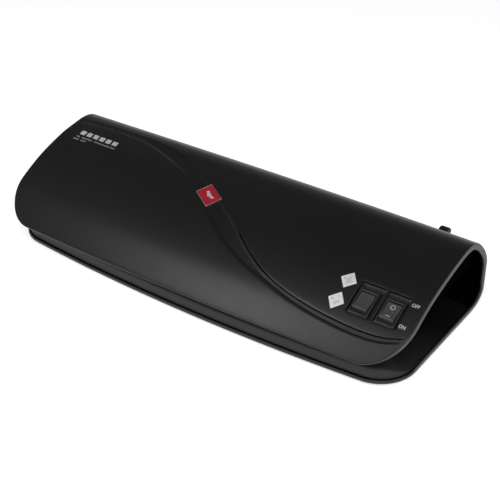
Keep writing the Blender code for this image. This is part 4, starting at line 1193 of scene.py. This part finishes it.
def area_light(name, place_at, aim, size, power):
    light = bpy.data.lights.new(name, "AREA")
    light.shape = "RECTANGLE"
    light.size, light.size_y = size
    light.energy = power
    obj = linked(name, light)
    obj.location = place_at
    obj.rotation_euler = (Vector(aim) - Vector(place_at)).to_track_quat("-Z", "Y").to_euler()


def make_stage():
    mesh = bpy.data.meshes.new("floor")
    mesh.from_pydata([(FLOOR_HALF * x, FLOOR_HALF * y, 0) for x, y in CORNERS], [], [(0, 1, 2, 3)])
    floor = linked("floor", mesh)
    paper, _, shader = nodes_of("floor_paper", grey(0.88), 0.9, 0.0, 0.2)
    shader.inputs["Emission Color"].default_value = (1.0, 1.0, 1.0, 1.0)
    shader.inputs["Emission Strength"].default_value = FLOOR_GLOW
    mesh.materials.append(paper)
    world = bpy.data.worlds.new("studio")
    world.use_nodes = True
    tree = world.node_tree
    split = add(tree, "SeparateXYZ", {"Vector": add(tree, "TexCoord").outputs["Generated"]})
    sky = {"From Min": 0.02, "From Max": 0.40, "To Min": 1.0, "To Max": 0.12}
    level = add(tree, "MapRange", {"Value": split.outputs["Z"]}, sky)
    level.interpolation_type = "SMOOTHSTEP"
    tree.links.new(level.outputs["Result"], tree.nodes["Background"].inputs["Strength"])
    tree.nodes["Background"].inputs["Color"].default_value = (1.0, 1.0, 1.0, 1.0)
    bpy.context.scene.world = world
    area_light("low_box", (-0.62, -1.12, 0.33), (0.02, -0.05, 0.03), (0.5, 0.2), 0.9)
    area_light("key_box", (-0.30, -0.44, 0.66), (0.04, -0.06, 0.03), (0.20, 0.20), 1.2)
    area_light("right_box", (1.07, 0.10, 0.75), (0.12, 0.0, 0.04), (0.5, 0.5), 2.2)
    area_light("top_box", (0.6, -0.9, 1.7), (0.0, 0.0, 0.0), (1.0, 1.0), 12.0)


def make_camera():
    """The photo's camera, looking down from the front right."""
    turn = math.radians(CAMERA_TURN)
    rise = math.radians(CAMERA_RISE)
    back = Vector((math.sin(turn) * math.cos(rise), -math.cos(turn) * math.cos(rise), math.sin(rise)))
    right = Vector((math.cos(turn), math.sin(turn), 0.0))
    up = back.cross(right)
    data = bpy.data.cameras.new("camera")
    data.sensor_width = 36.0
    data.lens = CAMERA_LENS
    camera = linked("camera", data)
    spin = Matrix((right, up, back)).transposed()
    camera.matrix_world = Matrix.Translation(CAMERA_AT) @ spin.to_4x4()
    data.clip_start = 0.01
    data.clip_end = 30.0
    bpy.context.scene.camera = camera


make_cover()
make_base()
make_tray()
make_end_panel("right_end_panel", 1, "right_end_cap")
make_end_panel("left_end_panel", -1, "left_end_cap")
make_switch("selector", SWITCHES["selector"], "gloss_black", "gloss_black")
make_switch("power", SWITCHES["power"], "switch_black", "rocker_black")
circle = [(math.cos(2 * math.pi * k / 32), math.sin(2 * math.pi * k / 32)) for k in range(32)]
rocker_mark("power_ring_mark", *[[(r * a, 3.1 + r * b) for a, b in circle] for r in (1.25, 1.7)])
bar = [(1.5 * a, 0.25 * b) for a, b in CORNERS]
rocker_mark("power_bar_mark", *[[(r * a, -4.2 + r * b) for a, b in bar] for r in (0.02, 1.0)])
make_badge()
make_labels()
make_prints()
make_lever()
make_gland()
make_feet()
dress_nodes()
make_stage()
make_camera()
bpy.context.scene.view_settings.view_transform = "Standard"
bpy.context.view_layer.update()
